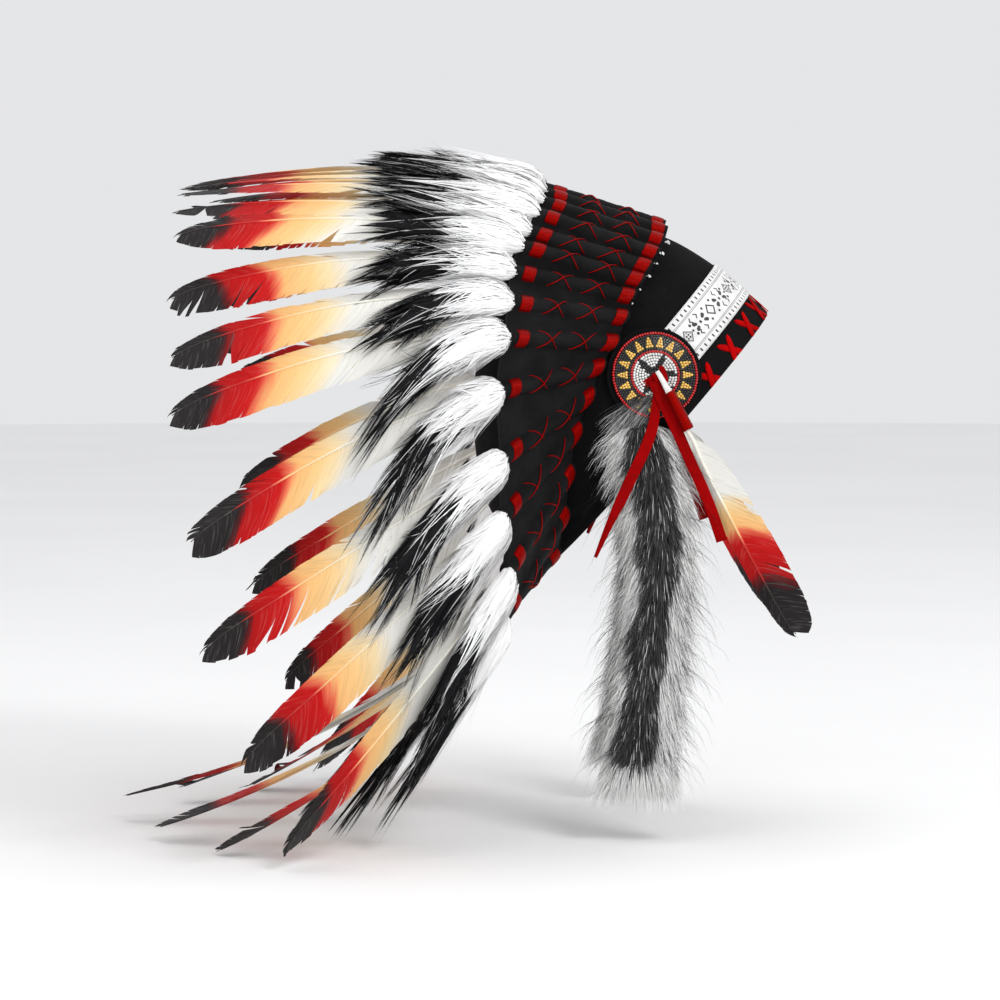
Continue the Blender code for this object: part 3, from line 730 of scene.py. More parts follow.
def make_crown():
    """Felt crown with an outer and an inner skin and a rolled rim."""
    sides = 120
    around = np.linspace(0, 2 * np.pi, sides, endpoint=False)[None]
    heights = np.concatenate([np.linspace(0, 0.9, 46), [0.925, 0.95, 0.97, 0.985, 0.99]])[:, None]
    pucker = np.sin(around * 9 + heights * 14) * np.sin(around * 4 - heights * 9) * 0.35 * MM
    pucker = pucker * ease(0, 0.2, heights)
    outer = cap_shape(heights, around) + cap_normal(heights, around) * pucker[..., None]
    lining = cap_shape(heights, around, CROWN_WALL) - (0, 0, 1) * (CROWN_WALL * heights)[..., None]
    roll = cap_shape(0.0, around, CROWN_WALL / 2) - (0, 0, 0.7 * MM)
    form = Form()
    form.rings(np.vstack([lining[::-1], roll.reshape(1, sides, 3), outer]) @ CAP_TURN.T)
    form.piece("crown_felt", FELT, "felt_black", "crown")


def make_braid_band():
    """The braid round the front, which holds its distances along and across for the pattern."""
    columns, rows = 120, 14
    around = np.linspace(-RIBBON_END, RIBBON_END, columns)[:, None]
    across = np.linspace(-0.5, 0.5, rows)[None]
    height = (RIBBON_RISE + (across + 0.5) * RIBBON_WIDTH) / CROWN_DEPTH
    height, around = np.broadcast_arrays(height, around)
    face = on_crown(height, around, 1.5 * MM)
    under = on_crown(height, around, 0.3 * MM)
    run = np.linalg.norm(np.diff(face[:, rows // 2], axis=0), axis=1)
    run = np.concatenate([[0], np.cumsum(run)]) / MM
    along = np.repeat((run - run[-1] / 2)[:, None], 2 * rows, axis=1)
    wide = across[0] * RIBBON_WIDTH / MM
    form = Form()
    wide = np.broadcast_to(np.concatenate([wide, wide[::-1]]), along.shape)
    form.rings(np.concatenate([face, under[:, ::-1]], 1), along=along, across=wide)
    form.piece("braid_band", BRAID, "braid_white", "trim_ribbon")


def crown_patch(form, middle, direction, length, width, stand):
    """A leaf-ended felt strip laid flat on the crown, from its middle's height and angle round."""
    rows = 13
    t = np.linspace(-1, 1, rows)
    half = width / 2 * np.sqrt(np.clip(1 - np.abs(t) ** 5, 0.02, 1)) * (1 - 0.14 * np.abs(t))
    height, around = middle
    spread = np.linalg.norm(on_crown(height, around + 0.01) - on_crown(height, around - 0.01)) / 0.02
    rim, up = math.cos(direction), math.sin(direction)
    outline = ((1, 0), (0.6, 1), (0, 1.15), (-0.6, 1), (-1, 0))
    rings = []
    for side, rise in outline:
        shift_rim = rim * t * length / 2 - up * side * half
        shift_up = up * t * length / 2 + rim * side * half
        swell = stand + rise * 0.55 * MM
        place = np.maximum(height + shift_up / CROWN_DEPTH, -0.004)
        rings.append(on_crown(place, around + shift_rim / spread, swell))
    form.rings(np.moveaxis(np.array(rings), 0, 1))


# Crosses of the brow lacing: angle round the crown from the front and height over the rim in millimetres
LACING_CROSSES = ((0, 8.4), (16, 7.8), (31.5, 6.4), (47, 5.0), (61.5, 4.2))
LACING_LEAN = math.radians(56)


def make_brow_lacing():
    """Crosses of red felt along the rim, one strip laid over the other."""
    form = Form()
    for angle, height in LACING_CROSSES:
        for side in (1, -1) if angle else (1,):
            middle = (height * MM / CROWN_DEPTH, side * math.radians(angle))
            crown_patch(form, middle, side * LACING_LEAN, 21 * MM, 5.0 * MM, 0.1 * MM)
            crown_patch(form, middle, -side * LACING_LEAN, 20 * MM, 4.6 * MM, 0.7 * MM)
    form.piece("brow_lacing", LACING_FELT, "lace_red")


def ball(form, middles, radius, axes, squash=0.8, sides=8, rows=5, **values):
    """Round beads at their middles. Each one's axes are along, across and out."""
    turn = np.linspace(0, 2 * np.pi, sides, endpoint=False)
    climb = np.linspace(-np.pi / 2, np.pi / 2, rows + 2)[1:-1]
    ring = np.stack(
        [
            np.cos(climb)[:, None] * np.cos(turn),
            np.cos(climb)[:, None] * np.sin(turn),
            np.broadcast_to(np.sin(climb)[:, None] * squash, (rows, sides)),
        ],
        -1,
    ).reshape(-1, 3)
    points = np.einsum("nk,bkj->bnj", ring, np.asarray(axes)) * np.reshape(radius, (-1, 1, 1))
    points = middles[:, None] + points
    faces = lattice(rows, sides, wrap=True)
    caps = np.array([np.arange(sides)[::-1], (rows - 1) * sides + np.arange(sides)])
    start = np.arange(len(middles))[:, None, None] * rows * sides
    each = rows * sides
    values = {name: np.repeat(np.broadcast_to(value, len(middles)), each) for name, value in values.items()}
    form.add(points, (faces + start).reshape(-1, 4), (caps + start).reshape(-1, sides), **values)


# Rosettes

# Places of the beads' colours on the scale of the glass finish
BEAD_BLACK, BEAD_RED, BEAD_GOLD, BEAD_WHITE = 0.05, 0.3, 0.55, 0.85

# Profiles of the felt backing and of the beads' bed: radius and rise in millimetres
BACKING_PROFILE = (
    (0.3, 0.0),
    (29.6, 0.0),
    (30.3, 0.5),
    (30.3, 1.1),
    (29.7, 1.5),
    (27.4, 1.75),
    (27.0, 1.55),
    (0.3, 1.6),
)
BED_PROFILE = ((0.3, 0.1), (25.6, 0.1), (26.4, 0.8), (26.0, 1.6), (25.2, 1.9), (0.3, 1.9))

# Outer rows of beads, in millimetres. A row without steps is black at 0 and red at -1
GOLD_STEPS = 18
BEAD_ROWS = (
    # radius, beads, gold beads to a step
    (26.5, 98, -1),
    (24.9, 92, 0),
    (23.3, 90, 1),
    (21.7, 90, 2),
    (20.05, 72, 2),
    (18.35, 72, 3),
    (16.7, 60, 0),
    (15.0, 56, -1),
)

# Radii of the white rows, their pitch, and the angles of the black wedges in them
INNER_ROWS = (13.3, 11.5, 9.7, 7.9, 6.1, 4.3)
INNER_PITCH = 1.65
WEDGES = (140, 68, 2, -120)


def rosette_point(turn, radius, stand):
    """Points round the rosette at a stand over the crown, and their directions from its middle."""
    middle, forward, up, out = ROSETTE
    flat = forward * np.cos(turn)[:, None] + up * np.sin(turn)[:, None]
    return middle + flat * np.reshape(radius, (-1, 1)) + out * stand, flat


def sew_beads(form, turn, radius, shades, wide=0.52, deep=0.92, high=1.0):
    """A ring of beads at turns and radii round the rosette, their width a share of their pitch."""
    spot, flat = rosette_point(turn, radius, BEAD_SEAT)
    out = ROSETTE[3]
    pitch = 2 * np.pi * np.mean(radius) / len(turn)
    across = np.cross(out, flat) * pitch * np.reshape(wide, (-1, 1))
    rise = np.broadcast_to(out, flat.shape) * np.reshape(high, (-1, 1)) * MM
    ball(form, spot, 1.0, np.stack([across, flat * deep * MM, rise], 1), 0.95, shade=shades)


def sew_loose_beads(form, radius, count, shades, rng):
    """A ring of beads that stray a little from their places."""
    turn = (np.arange(count) + rng.normal(0, 0.05, count)) / count * 2 * np.pi
    sew_beads(form, turn, radius * MM + rng.normal(0, 0.07 * MM, count), shades)


def turned_disc(profile, stand):
    """Rings of a disc on the rosette's middle, from its profile's radii and rises in millimetres."""
    turn = np.linspace(0, 2 * np.pi, 72, endpoint=False)
    return np.array([rosette_point(turn, radius * MM, stand + rise * MM)[0] for radius, rise in profile])


def make_rosette_backings():
    """Black felt discs behind the beads, with a stitched edge."""
    backing = Form()
    backing.rings(turned_disc(BACKING_PROFILE, 0.5 * MM))
    backing.both_sides("rosette_felt", FELT, "felt_black", "rosette_backing")


def make_rosette_beadwork():
    """Beads in rings: steps of gold on black between red edges, and a white middle with black wedges."""
    rng = np.random.default_rng(5)
    beads = Form()
    beads.rings(turned_disc(BED_PROFILE, BEADWORK_STAND), shade=BEAD_BLACK)
    for radius, count, gold in BEAD_ROWS:
        shades = np.full(count, BEAD_RED if gold < 0 else BEAD_BLACK)
        if gold > 0:
            shades[np.arange(count) % (count // GOLD_STEPS) < gold] = BEAD_GOLD
            turn = (np.arange(count) - (gold - 1) / 2) / count * 2 * np.pi
            golden = shades == BEAD_GOLD
            wide, high = np.where(golden, 0.52, 0.46), np.where(golden, 1.2, 0.8)
            sew_beads(beads, turn, radius * MM, shades, wide, 0.95, high)
        else:
            sew_loose_beads(beads, radius, count, shades, rng)
    for row, radius in enumerate(INNER_ROWS):
        count = int(2 * math.pi * radius / INNER_PITCH)
        angle = np.degrees(np.arange(count) / count * 2 * np.pi)
        shades = np.full(count, BEAD_WHITE)
        for wedge in WEDGES:
            gap = np.abs((angle - wedge + 180) % 360 - 180)
            shades[gap * math.radians(1) * radius < 0.9 + 0.42 * row] = BEAD_BLACK
        shades[rng.random(count) < 0.05] = BEAD_BLACK
        sew_loose_beads(beads, radius, count, shades, rng)
    sew_loose_beads(beads, 2.4, 8, np.full(8, BEAD_BLACK), rng)
    spot, _ = rosette_point(np.zeros(1), np.zeros(1), BEADWORK_STAND + BEADWORK_THICKNESS)
    ball(beads, spot, 1.5 * MM, np.eye(3)[None], 1.0, shade=BEAD_RED)
    beads.both_sides("rosette_beadwork", BEADS, "beads", "rosette_beads")


def make_rosette_knots():
    """The red felt where the laces are tied through the beadwork: a tab, a leaf and the tie itself."""
    knot = Form()
    tab = smooth_route(KNOT_TAB_ROUTE, 4)
    knot.rings(strip_rings(tab, np.linspace(3.3, 1.3, len(tab)) * MM, 1.0 * MM))
    leaf = smooth_route(KNOT_LEAF_ROUTE, 8)
    bulge = 2.1 * MM * np.sqrt(np.clip(1 - np.abs(np.linspace(-1, 1, len(leaf))) ** 2.4, 0.02, 1))
    knot.rings(strip_rings(leaf, bulge, 0.9 * MM))
    tie_radii = np.array([0.9, 1.4, 1.7, 1.9, 2.0, 2.0, 1.9, 1.7, 1.2]) * MM
    tube(knot, smooth_route(KNOT_TIE_ROUTE, 4), tie_radii, 10)
    knot.both_sides("rosette_knot", RED_FELT, "lace_red")


# Sleeves


def aim(climb, splay):
    """The direction back from the crown that climbs and splays to the right by angles in degrees."""
    climb, splay = math.radians(climb), math.radians(splay)
    return np.array((-math.cos(climb) * math.cos(splay), -math.sin(splay), math.sin(climb) * math.cos(splay)))


def make_sleeve_ring():
    """Sleeves in order round the crown: their ends, directions and feathers' chords."""
    rim = [(row[1], math.radians(row[2])) for row in SLEEVES]
    spots = [cap_shape(*place, 0, straight_rows) for place in rim]
    sags = []
    for (low, near), (high, far), a, b in zip(rim, rim[1:], spots, spots[1:]):
        bulge = cap_shape((low + high) / 2, (near + far) / 2, 0, straight_rows)
        sags.append(np.linalg.norm(bulge - (a + b) / 2))
    sags = [sags[0], *sags, sags[-1]]
    right = []
    for k, (name, height, around, climb, splay, chord_climb, chord_splay, droop) in enumerate(SLEEVES):
        normal = CAP_TURN @ cap_normal(height, math.radians(around), straight_rows)
        along, chord = aim(climb, splay), aim(chord_climb, chord_splay)
        lean = math.sqrt(max(0.0, 1 - float(along @ normal) ** 2))
        stand = max(SLEEVE_RADIUS * lean, max(sags[k : k + 2]) + CLOTH / 2) + 0.5 * MM
        start = CAP_TURN @ spots[k] + normal * stand
        right.append({"name": name, "droop": droop, "start": start, "along": along, "chord": chord})
    left = []
    for one in reversed(right[1:-1]):
        flipped = {key: one[key] * (1, -1, 1) for key in ("start", "along", "chord")}
        left.append({"name": "l" + one["name"], "droop": one["droop"], **flipped})
    for one in right[1:-1]:
        one["name"] = "r" + one["name"]
    ring = right + left
    for one in ring:
        one["end"] = one["start"] + one["along"] * SLEEVE_LENGTH
    return ring


RING = make_sleeve_ring()
ORDER = [one["name"] for one in RING]


def sleeve_section(k, distance):
    """A sleeve's middle, slanted across direction and outward direction at a distance along it."""
    beside = (RING[k - 1], RING[k], RING[(k + 1) % len(RING)])
    places = [one["start"] + one["along"] * distance for one in beside]
    along = RING[k]["along"]
    across = unit(places[2] - places[0])
    square = across - along * (across @ along)
    return places[1], across / np.linalg.norm(square), unit(np.cross(along, square))


def sleeve_swell(distance, phase):
    """How full a sleeve is along its length: drawn in under its bound ends."""
    bound = sum(np.exp(-(((distance - waist) / (4.5 * MM)) ** 2)) for waist in SLEEVE_WAISTS)
    along = distance / MM
    ripple = 0.025 * np.sin(along * 0.42 + phase) + 0.018 * np.sin(along * 0.95 + 2 * phase)
    return 1.0 - 0.07 * bound + ripple


def make_sleeves():
    """Cloth of the sewn sleeves, with the web between them, an outer and an inner skin."""
    rows, arc, web = 36, 11, 3
    distances = np.linspace(0, SLEEVE_END, rows)
    edge = math.degrees(math.asin(CLOTH / 2 / SLEEVE_RADIUS))
    angles = np.radians(np.linspace(180 - edge, edge, arc))
    share = (np.arange(1, web + 1) / (web + 1))[:, None]
    phases = np.random.default_rng(8).uniform(0, 6, len(RING))
    skins = []
    for skin in (1, -1):
        for distance in distances:
            sections = [sleeve_section(k, distance) for k in range(len(RING))]
            arcs = []
            for (place, across, out), phase in zip(sections, phases):
                swell = sleeve_swell(distance, phase)
                ring = place + np.outer(np.cos(angles), across) * SLEEVE_RADIUS
                arcs.append(ring + skin * np.outer(np.sin(angles), out) * SLEEVE_RADIUS * swell)
            for k, (_, _, out) in enumerate(sections):
                pucker = 0.5 * MM * np.sin(distance / MM * 0.33 + phases[k])
                dip = np.sin(share * np.pi) * (0.8 * MM + pucker) * min(1.0, distance / (20 * MM))
                after = arcs[(k + 1) % len(RING)][0]
                skins += [arcs[k], arcs[k][-1] * (1 - share) + after * share - out * dip]
    columns = len(RING) * (arc + web)
    total = rows * columns
    sheet = lattice(rows, columns, wrap=True)
    first, last = np.arange(columns), (rows - 1) * columns + np.arange(columns)
    rims = []
    for line, turned in ((first, -1), (last, 1)):
        beside = np.roll(line, -1)
        rims.append(np.stack([line, beside, beside + total, line + total], 1)[:, ::turned])
    run = np.concatenate([np.linspace(0, 14, arc), 14 + 4.0 * np.arange(1, web + 1)])
    across = np.tile((np.arange(len(RING))[:, None] * 30 + run).ravel(), rows)
    along = np.repeat(distances / MM, columns)
    values = {"along": np.tile(along, 2), "across": np.tile(across, 2)}
    form = Form()
    form.add(np.vstack(skins), sheet[:, ::-1], sheet + total, *rims, **values)
    form.piece("sleeve_panel", SLEEVE_CLOTH, "cloth_black", "quill_panel")


def make_sleeve_seam():
    """The cloth's turned edge, sewn down on the crown from sleeve to sleeve."""
    right = [(height, math.radians(around)) for _, height, around, *_ in SLEEVES]
    left = [(height, 2 * math.pi - around) for height, around in reversed(right[1:-1])]
    table = []
    for k, spot in enumerate((*right, *left, (right[0][0], 2 * math.pi))):
        middle, _, out = sleeve_section(k % len(RING), SEAM_REACH)
        table.append((k, *spot, *middle, *out))
    places = np.arange(len(RING) * 4) / 4
    rows = straight_rows(table, places)
    sewn = on_crown(rows[:, 0], rows[:, 1], -0.3 * MM)
    steps = np.linspace(0, 1, 5)
    skin = sewn + (rows[:, 2:5] - sewn) * steps[:, None, None]
    half = unit(rows[:, 5:]) * SEAM_THICKNESS / 2
    loop = np.concatenate([skin + half, skin[::-1] - half])
    along = np.tile(np.concatenate([steps, steps[::-1]]) * 6, len(places))
    form = Form()
    form.rings(np.swapaxes(loop, 0, 1), True, along=along, across=np.repeat(places * 30, len(loop)))
    form.piece("sleeve_seam", SLEEVE_CLOTH, "cloth_black")


# Thread bands and crosses, with each band's start along its sleeve

BAND_WIDTH = 8.0 * MM
BAND_STARTS = (1.9 * MM, 67.6 * MM)
CROSS_MIDDLES = (26.0 * MM, 50.5 * MM)
CROSS_REACH = 9.4 * MM
CROSS_TURN = math.radians(92)
CROSS_RAISED = math.radians(22)
CROSS_THREAD = 0.42 * MM


def round_sleeve(k, distance, turn, stand):
    """Points round a sleeve at distances along it, at a stand over its cloth."""
    points = []
    for one, angle in zip(np.ravel(distance), np.ravel(turn)):
        place, across, out = sleeve_section(k, one)
        away = across * math.cos(angle) + out * math.sin(angle)
        points.append(place + away * (SLEEVE_RADIUS * 0.97 + stand))
    return np.array(points).reshape(*np.shape(distance), 3)


def make_thread_bands():
    """Satin thread wound round both ends of every sleeve."""
    sides, rows = 22, 9
    turn = np.linspace(0, 2 * np.pi, sides, endpoint=False)
    t = np.linspace(0, 1, rows)
    puffs = 0.55 * MM + 0.25 * MM * np.sin(t * np.pi)
    rng = np.random.default_rng(9)
    form = Form()
    for k in range(len(RING)):
        for start in BAND_STARTS:
            skew = rng.normal(0, 0.35 * MM) * np.sin(turn)
            wide = BAND_WIDTH * rng.uniform(0.94, 1.06)
            start = start + skew
            outer = [round_sleeve(k, start + share * wide, turn, puff) for share, puff in zip(t, puffs)]
            near, far = (round_sleeve(k, start + share * wide, turn, -0.6 * MM) for share in (0, 1))
            along = np.concatenate([[0], t, [1]]) * wide / MM + 40 * k
            across = np.tile(np.degrees(turn), rows + 2)
            form.rings(np.array([near, *outer, far]), True, along=np.repeat(along, sides), across=across)
    form.piece("thread_bands", THREAD, "thread_red")


def make_crossed_threads():
    """Two crosses of thread over the outside of each sleeve, raised towards its upper side near the top."""
    rng = np.random.default_rng(10)
    form = Form()
    t = np.linspace(-1, 1, 13)
    for k in range(len(RING)):
        before, after = [round_sleeve(k, CROSS_MIDDLES[0], np.pi / 2 + turn, 0.0)[2] for turn in (-0.3, 0.3)]
        from_top = min(k, len(RING) - k)
        upward = np.clip((after - before) / (2 * MM), -1, 1) * max(1 - from_top / 7, -0.3)
        turn = np.pi / 2 + upward * CROSS_RAISED + t * CROSS_TURN
        for middle in CROSS_MIDDLES:
            middle = middle + rng.normal(0, 0.8 * MM)
            for slant, stand in ((1, 0.3 * MM), (-1, 0.75 * MM)):
                distance = middle + slant * (t * CROSS_REACH) + rng.normal(0, 0.5 * MM)
                lift = stand * (1 - np.abs(t)) + 0.15 * MM
                route = np.array([round_sleeve(k, d, a, s) for d, a, s in zip(distance, turn, lift)])
                tube(form, route, CROSS_THREAD, 6, along=t * 12, across=0.0)
    form.piece("crossed_threads", THREAD, "thread_red")


STITCH_BEADS = (
    # height on the crown, angle round it, radius in millimetres
    (0.522, 15, 1.2),
    (0.512, 28.5, 1.0),
    (0.505, 37, 0.65),
    (0.496, 45.5, 0.95),
    (0.490, 53.5, 0.65),
    (0.480, 60.5, 0.85),
)


def make_stitch_beads():
    """Small white beads stitched where the sleeves meet the crown, some with a smaller one beside them."""
    rng = np.random.default_rng(11)
    form = Form()
    for height, angle, radius in STITCH_BEADS:
        for side in (1, -1):
            around = side * math.radians(angle)
            turns = np.array([around, around + side * 0.012])
            spots = on_crown(np.array([height, height + 0.010]), turns, 0.6 * MM)
            turned = np.array(Matrix.Rotation(rng.uniform(0.4, 1.2), 3, "Y")) * ((1.0,), (0.8,), (1.45,))
            sizes = np.array([radius, radius * rng.uniform(0.3, 0.65)]) * MM
            ball(form, spots, sizes, np.array([turned, turned]), 1.0, shade=BEAD_WHITE)
    form.piece("stitch_beads", BEADS, "beads")


# Feathers


def curve(line, place, length):
    """Points and headings of a feather's shaft at shares of its length."""
    place = np.asarray(place, float)[..., None]
    start = line["end"]
    bend = start + line["along"] * length * BLADE_REACH
    tip = start + line["chord"] * length
    point = start * (1 - place) ** 2 + bend * 2 * place * (1 - place) + tip * place**2
    return point, unit((bend - start) * (1 - place) + (tip - bend) * place)


def fan_outward(k, place):
    """The direction out of the fan, square to a feather's shaft and to its neighbours."""
    before, _ = curve(RING[k - 1], place, FEATHER_LENGTH)
    after, _ = curve(RING[(k + 1) % len(RING)], place, FEATHER_LENGTH)
    _, heading = curve(RING[k], place, FEATHER_LENGTH)
    return unit(np.cross(heading, after - before))


# The leading vane's share of the width, and clumps of barbs to a vane
LEAD_SHARE = 0.32
CLUMPS = 27

# Where the first and last barbs leave the shaft, and how far the barbs sweep towards the tip
BARB_ROOT, BARB_LAST = 0.05, 0.975
LEADING_SWEEP, TRAILING_SWEEP = 0.085, 0.115
EVEN_BANDS = ((0, 1), (0, 1))


class Feather:
    """One feather: its line, the way out of its face, its leading side, and its own dye and wear."""

    def __init__(self, line, outward, size, twist, lead, seed, blunt, slits, bands=EVEN_BANDS, wear=1.0):
        self.line, self.outward, self.twist, self.lead = line, outward, twist, lead
        self.length, self.width = size
        self.blunt, self.slits, self.bands = blunt, slits, bands
        self.rng = np.random.default_rng(seed)
        self.lot = self.rng.uniform(0, 50)
        self.slant = self.rng.uniform(-0.03, 0.13)
        self.shift = self.rng.normal(0, 0.012)
        self.sway = self.rng.normal(0, 1.5 * MM)
        self.curl = self.rng.uniform(-2.5, 1.0) * MM
        self.worn = self.rng.uniform(0.4, 1.35) * wear

    def at(self, place, across, rise):
        """World points at a place along, across and above the feather's line."""
        place, across, rise = np.broadcast_arrays(np.asarray(place, float), across, rise)
        point, heading = curve(self.line, place, self.length)
        side = unit(np.cross(heading, self.outward(place)))
        face = np.cross(side, heading)
        turn = (self.twist * np.clip(place / 0.16, 0, 1))[..., None]
        side, face = side * np.cos(turn) - face * np.sin(turn), face * np.cos(turn) + side * np.sin(turn)
        across = across + self.sway * place**2
        rise = rise + self.curl * np.clip(place - 0.55, 0, 1) ** 2 * 5
        return point + side * across[..., None] + face * rise[..., None]

    def reach(self, place, side):
        """How far a vane reaches from the shaft."""
        leading = side == self.lead
        outline = smooth_rows(LEADING_OUTLINE if leading else TRAILING_OUTLINE, np.asarray(place))[..., 0]
        share = LEAD_SHARE if leading else 1 - LEAD_SHARE
        return np.maximum(outline, 0.02) ** self.blunt * self.width * share

    def shaft_across(self, place):
        """How far the shaft lies from the middle of the feather's width."""
        return (self.reach(place, -self.lead) - self.reach(place, self.lead)) * self.lead / 2

    def dye(self, place, across):
        """The place on the scale of dyed bands, from 0 at the tip."""
        from_tip = 1 - place - self.slant * across * self.lead / self.width + self.shift
        return np.interp(from_tip, *self.bands)

    def vane(self, form, side):
        """The barbs of one side in clumps, some of which have split away from the next."""
        rng = self.rng
        widths = rng.uniform(0.4, 1.6, CLUMPS) * np.linspace(1.2, 0.75, CLUMPS)
        borders = np.concatenate([[0], np.cumsum(widths)]) / widths.sum()
        lines, steps = 3, 8
        faces = lattice(lines, steps) if side > 0 else lattice(lines, steps)[:, ::-1]
        t = np.linspace(0, 1, steps)[None]
        wear = min(self.worn + 0.1, 1.0)
        sweep = LEADING_SWEEP if side == self.lead else TRAILING_SWEEP
        for low, high in zip(borders, borders[1:]):
            middle = (low + high) / 2
            tip_near = ease(0.7, 1.0, middle)
            split = rng.random() < (0.05 + 0.14 * tip_near) * self.worn
            slit = rng.uniform(0.2, 0.6) if split else rng.uniform(0.8, 0.95)
            gap = rng.uniform(0.3, 0.75) if split else rng.uniform(0.0, 0.12)
            lean = rng.normal(0, 0.012) if split else rng.normal(0, 0.0012)
            lift = rng.normal(0, 1.2 * MM) if split else rng.normal(0, 0.2 * MM)
            for slit_side, first, last, how_wide, how_far in self.slits:
                if slit_side * self.lead == side and first <= middle < last:
                    slit, gap, lean, lift = 0.12, how_wide, how_far, 1.5 * MM
            opening = np.clip((t - slit) / (1 - slit), 0, 1) ** 1.4
            q = np.linspace(low, high, lines)[:, None]
            q = middle + (q - middle) * (1 - gap * opening * (1 if gap > 0.12 else wear))
            root = BARB_ROOT + (BARB_LAST - BARB_ROOT) * q
            reach = sweep * (1 - q**4) + (1 - BARB_LAST) * q**4
            stray = rng.normal(0, 0.02 + 0.03 * tip_near) + rng.normal(0, 0.012, (lines, 1))
            ragged = 1 + wear * stray * opening
            full = self.reach(np.minimum(root + reach, 1.0), side)
            place = root + reach * t**1.22 + lean * opening
            span = full * t**0.93 * ragged
            rise = -0.13 * full * t**2 + lift * opening + 0.25 * MM * (1 - t)
            across = self.shaft_across(root) * (1 - t) + self.shaft_across(place) * t + side * span
            form.add(
                self.at(place, across, rise),
                faces,
                dye=self.dye(place * 0.6 + (root + reach * 0.6) * 0.4, across),
                barb=np.broadcast_to(root * self.length / MM, place.shape),
                across=np.broadcast_to(t * side, place.shape),
                lot=self.lot,
                shaft=0.0,
            )

    def shaft(self, form):
        """The quill from its seat in the sleeve, and the shaft that thins towards the tip."""
        rows, sides = 26, 8
        place = np.linspace(0.0, 0.985, rows)
        seat = self.line["end"] - self.line["along"] * QUILL_SEAT
        route = np.vstack([seat, self.at(place, self.shaft_across(place), 0.35 * MM)])
        radius = (0.25 + 1.15 * (1 - np.concatenate([[0], place])) ** 0.9) * MM * self.width / BLADE_WIDTH
        dye = self.dye(np.concatenate([[0], place]), 0.0)
        barb = np.linspace(0, 40, rows + 1)
        tube(form, route, radius, sides, dye=dye, barb=barb, across=0.0, lot=self.lot, shaft=1.0)


# Feathers with a rounder tip, and slits: vane (1 leading, -1 trailing), from, to, share opened, lean
BLUNT_TIPS = {"09": 0.6, "06": 0.85, "08": 0.9}
SLITS = {
    "10": ((-1, 0.38, 0.44, 0.5, -0.02), (-1, 0.55, 0.58, 0.6, 0.01), (-1, 0.70, 0.74, 0.5, 0.006)),
    "06": ((-1, 0.20, 0.25, 0.7, -0.02),),
    "03": ((-1, 0.44, 0.50, 0.5, 0.008),),
}


def make_feathers():
    """A feather in each sleeve. The left ones lie as the right ones do, each with wear of its own."""
    for k, one in enumerate(RING):
        left = one["name"].startswith("l")
        flip = -1 if left else 1
        seed = 137 + ORDER.index(one["name"].replace("l", "r")) if left else 100 + k
        outward = partial(fan_outward, k)
        blunt = BLUNT_TIPS.get(one["name"][1:], 1.0)
        slits = () if left else SLITS.get(one["name"][1:], ())
        size = (FEATHER_LENGTH, BLADE_WIDTH)
        feather = Feather(one, outward, size, BLADE_TWIST * flip, flip, seed, blunt, slits)
        form = Form()
        for side in (flip, -flip):
            feather.vane(form, side)
        feather.shaft(form)
        form.piece(f"vane_{one['name']}", FEATHER, "feather", f"feather_{one['name']}")


# Plume tufts

# Sizes in millimetres, as all distances along a tuft are
TUFT_START = 3.5
TUFT_LIFT = 5.5
TUFT_CORE_WIDE, TUFT_CORE_HIGH = 11.0, 5.6
TUFT_BODY = (
    # distance, fullness
    (-2.0, 0.20),
    (0.0, 0.36),
    (3.0, 0.62),
    (8.0, 0.86),
    (15.0, 1.00),
    (34.0, 1.00),
    (52.0, 0.82),
    (72.0, 0.58),
    (95.0, 0.34),
    (125.0, 0.20),
)


def tuft_line(k, distance, droop=1.0):
    """Middle, side and outward directions of a tuft at distances from the sleeve's end."""
    one = RING[k]
    place = (distance + TUFT_START) * MM / FEATHER_LENGTH
    point, heading = curve(one, place, FEATHER_LENGTH)
    out = fan_outward(k, place)
    side = unit(np.cross(heading, out))
    fall = -WORLD_UP * (one["droop"] * 98 * MM * (distance / 98) ** 2 * droop)[..., None]
    inward = np.minimum(0.0, np.sum(fall * out, -1, keepdims=True))
    lift = TUFT_LIFT * MM * ease(-14, 16, distance)[..., None]
    return point + fall - out * inward + out * lift, side, out


# Strands of a tuft: count, clumps, root and end in millimetres, width, spread and bend of the clumps
TUFT_STRANDS = {
    "under": (560, 28, (28, 72), (84, 134), 0.88, 1.55, 7.0),
    "over": (400, 26, (-2, 28), (42, 76), 1.05, 1.05, 4.0),
    "wisps": (110, 12, (10, 36), (66, 110), 0.50, 1.45, 10.0),
    "stray": (34, 34, (20, 60), (70, 112), 0.22, 1.6, 11.0),
}


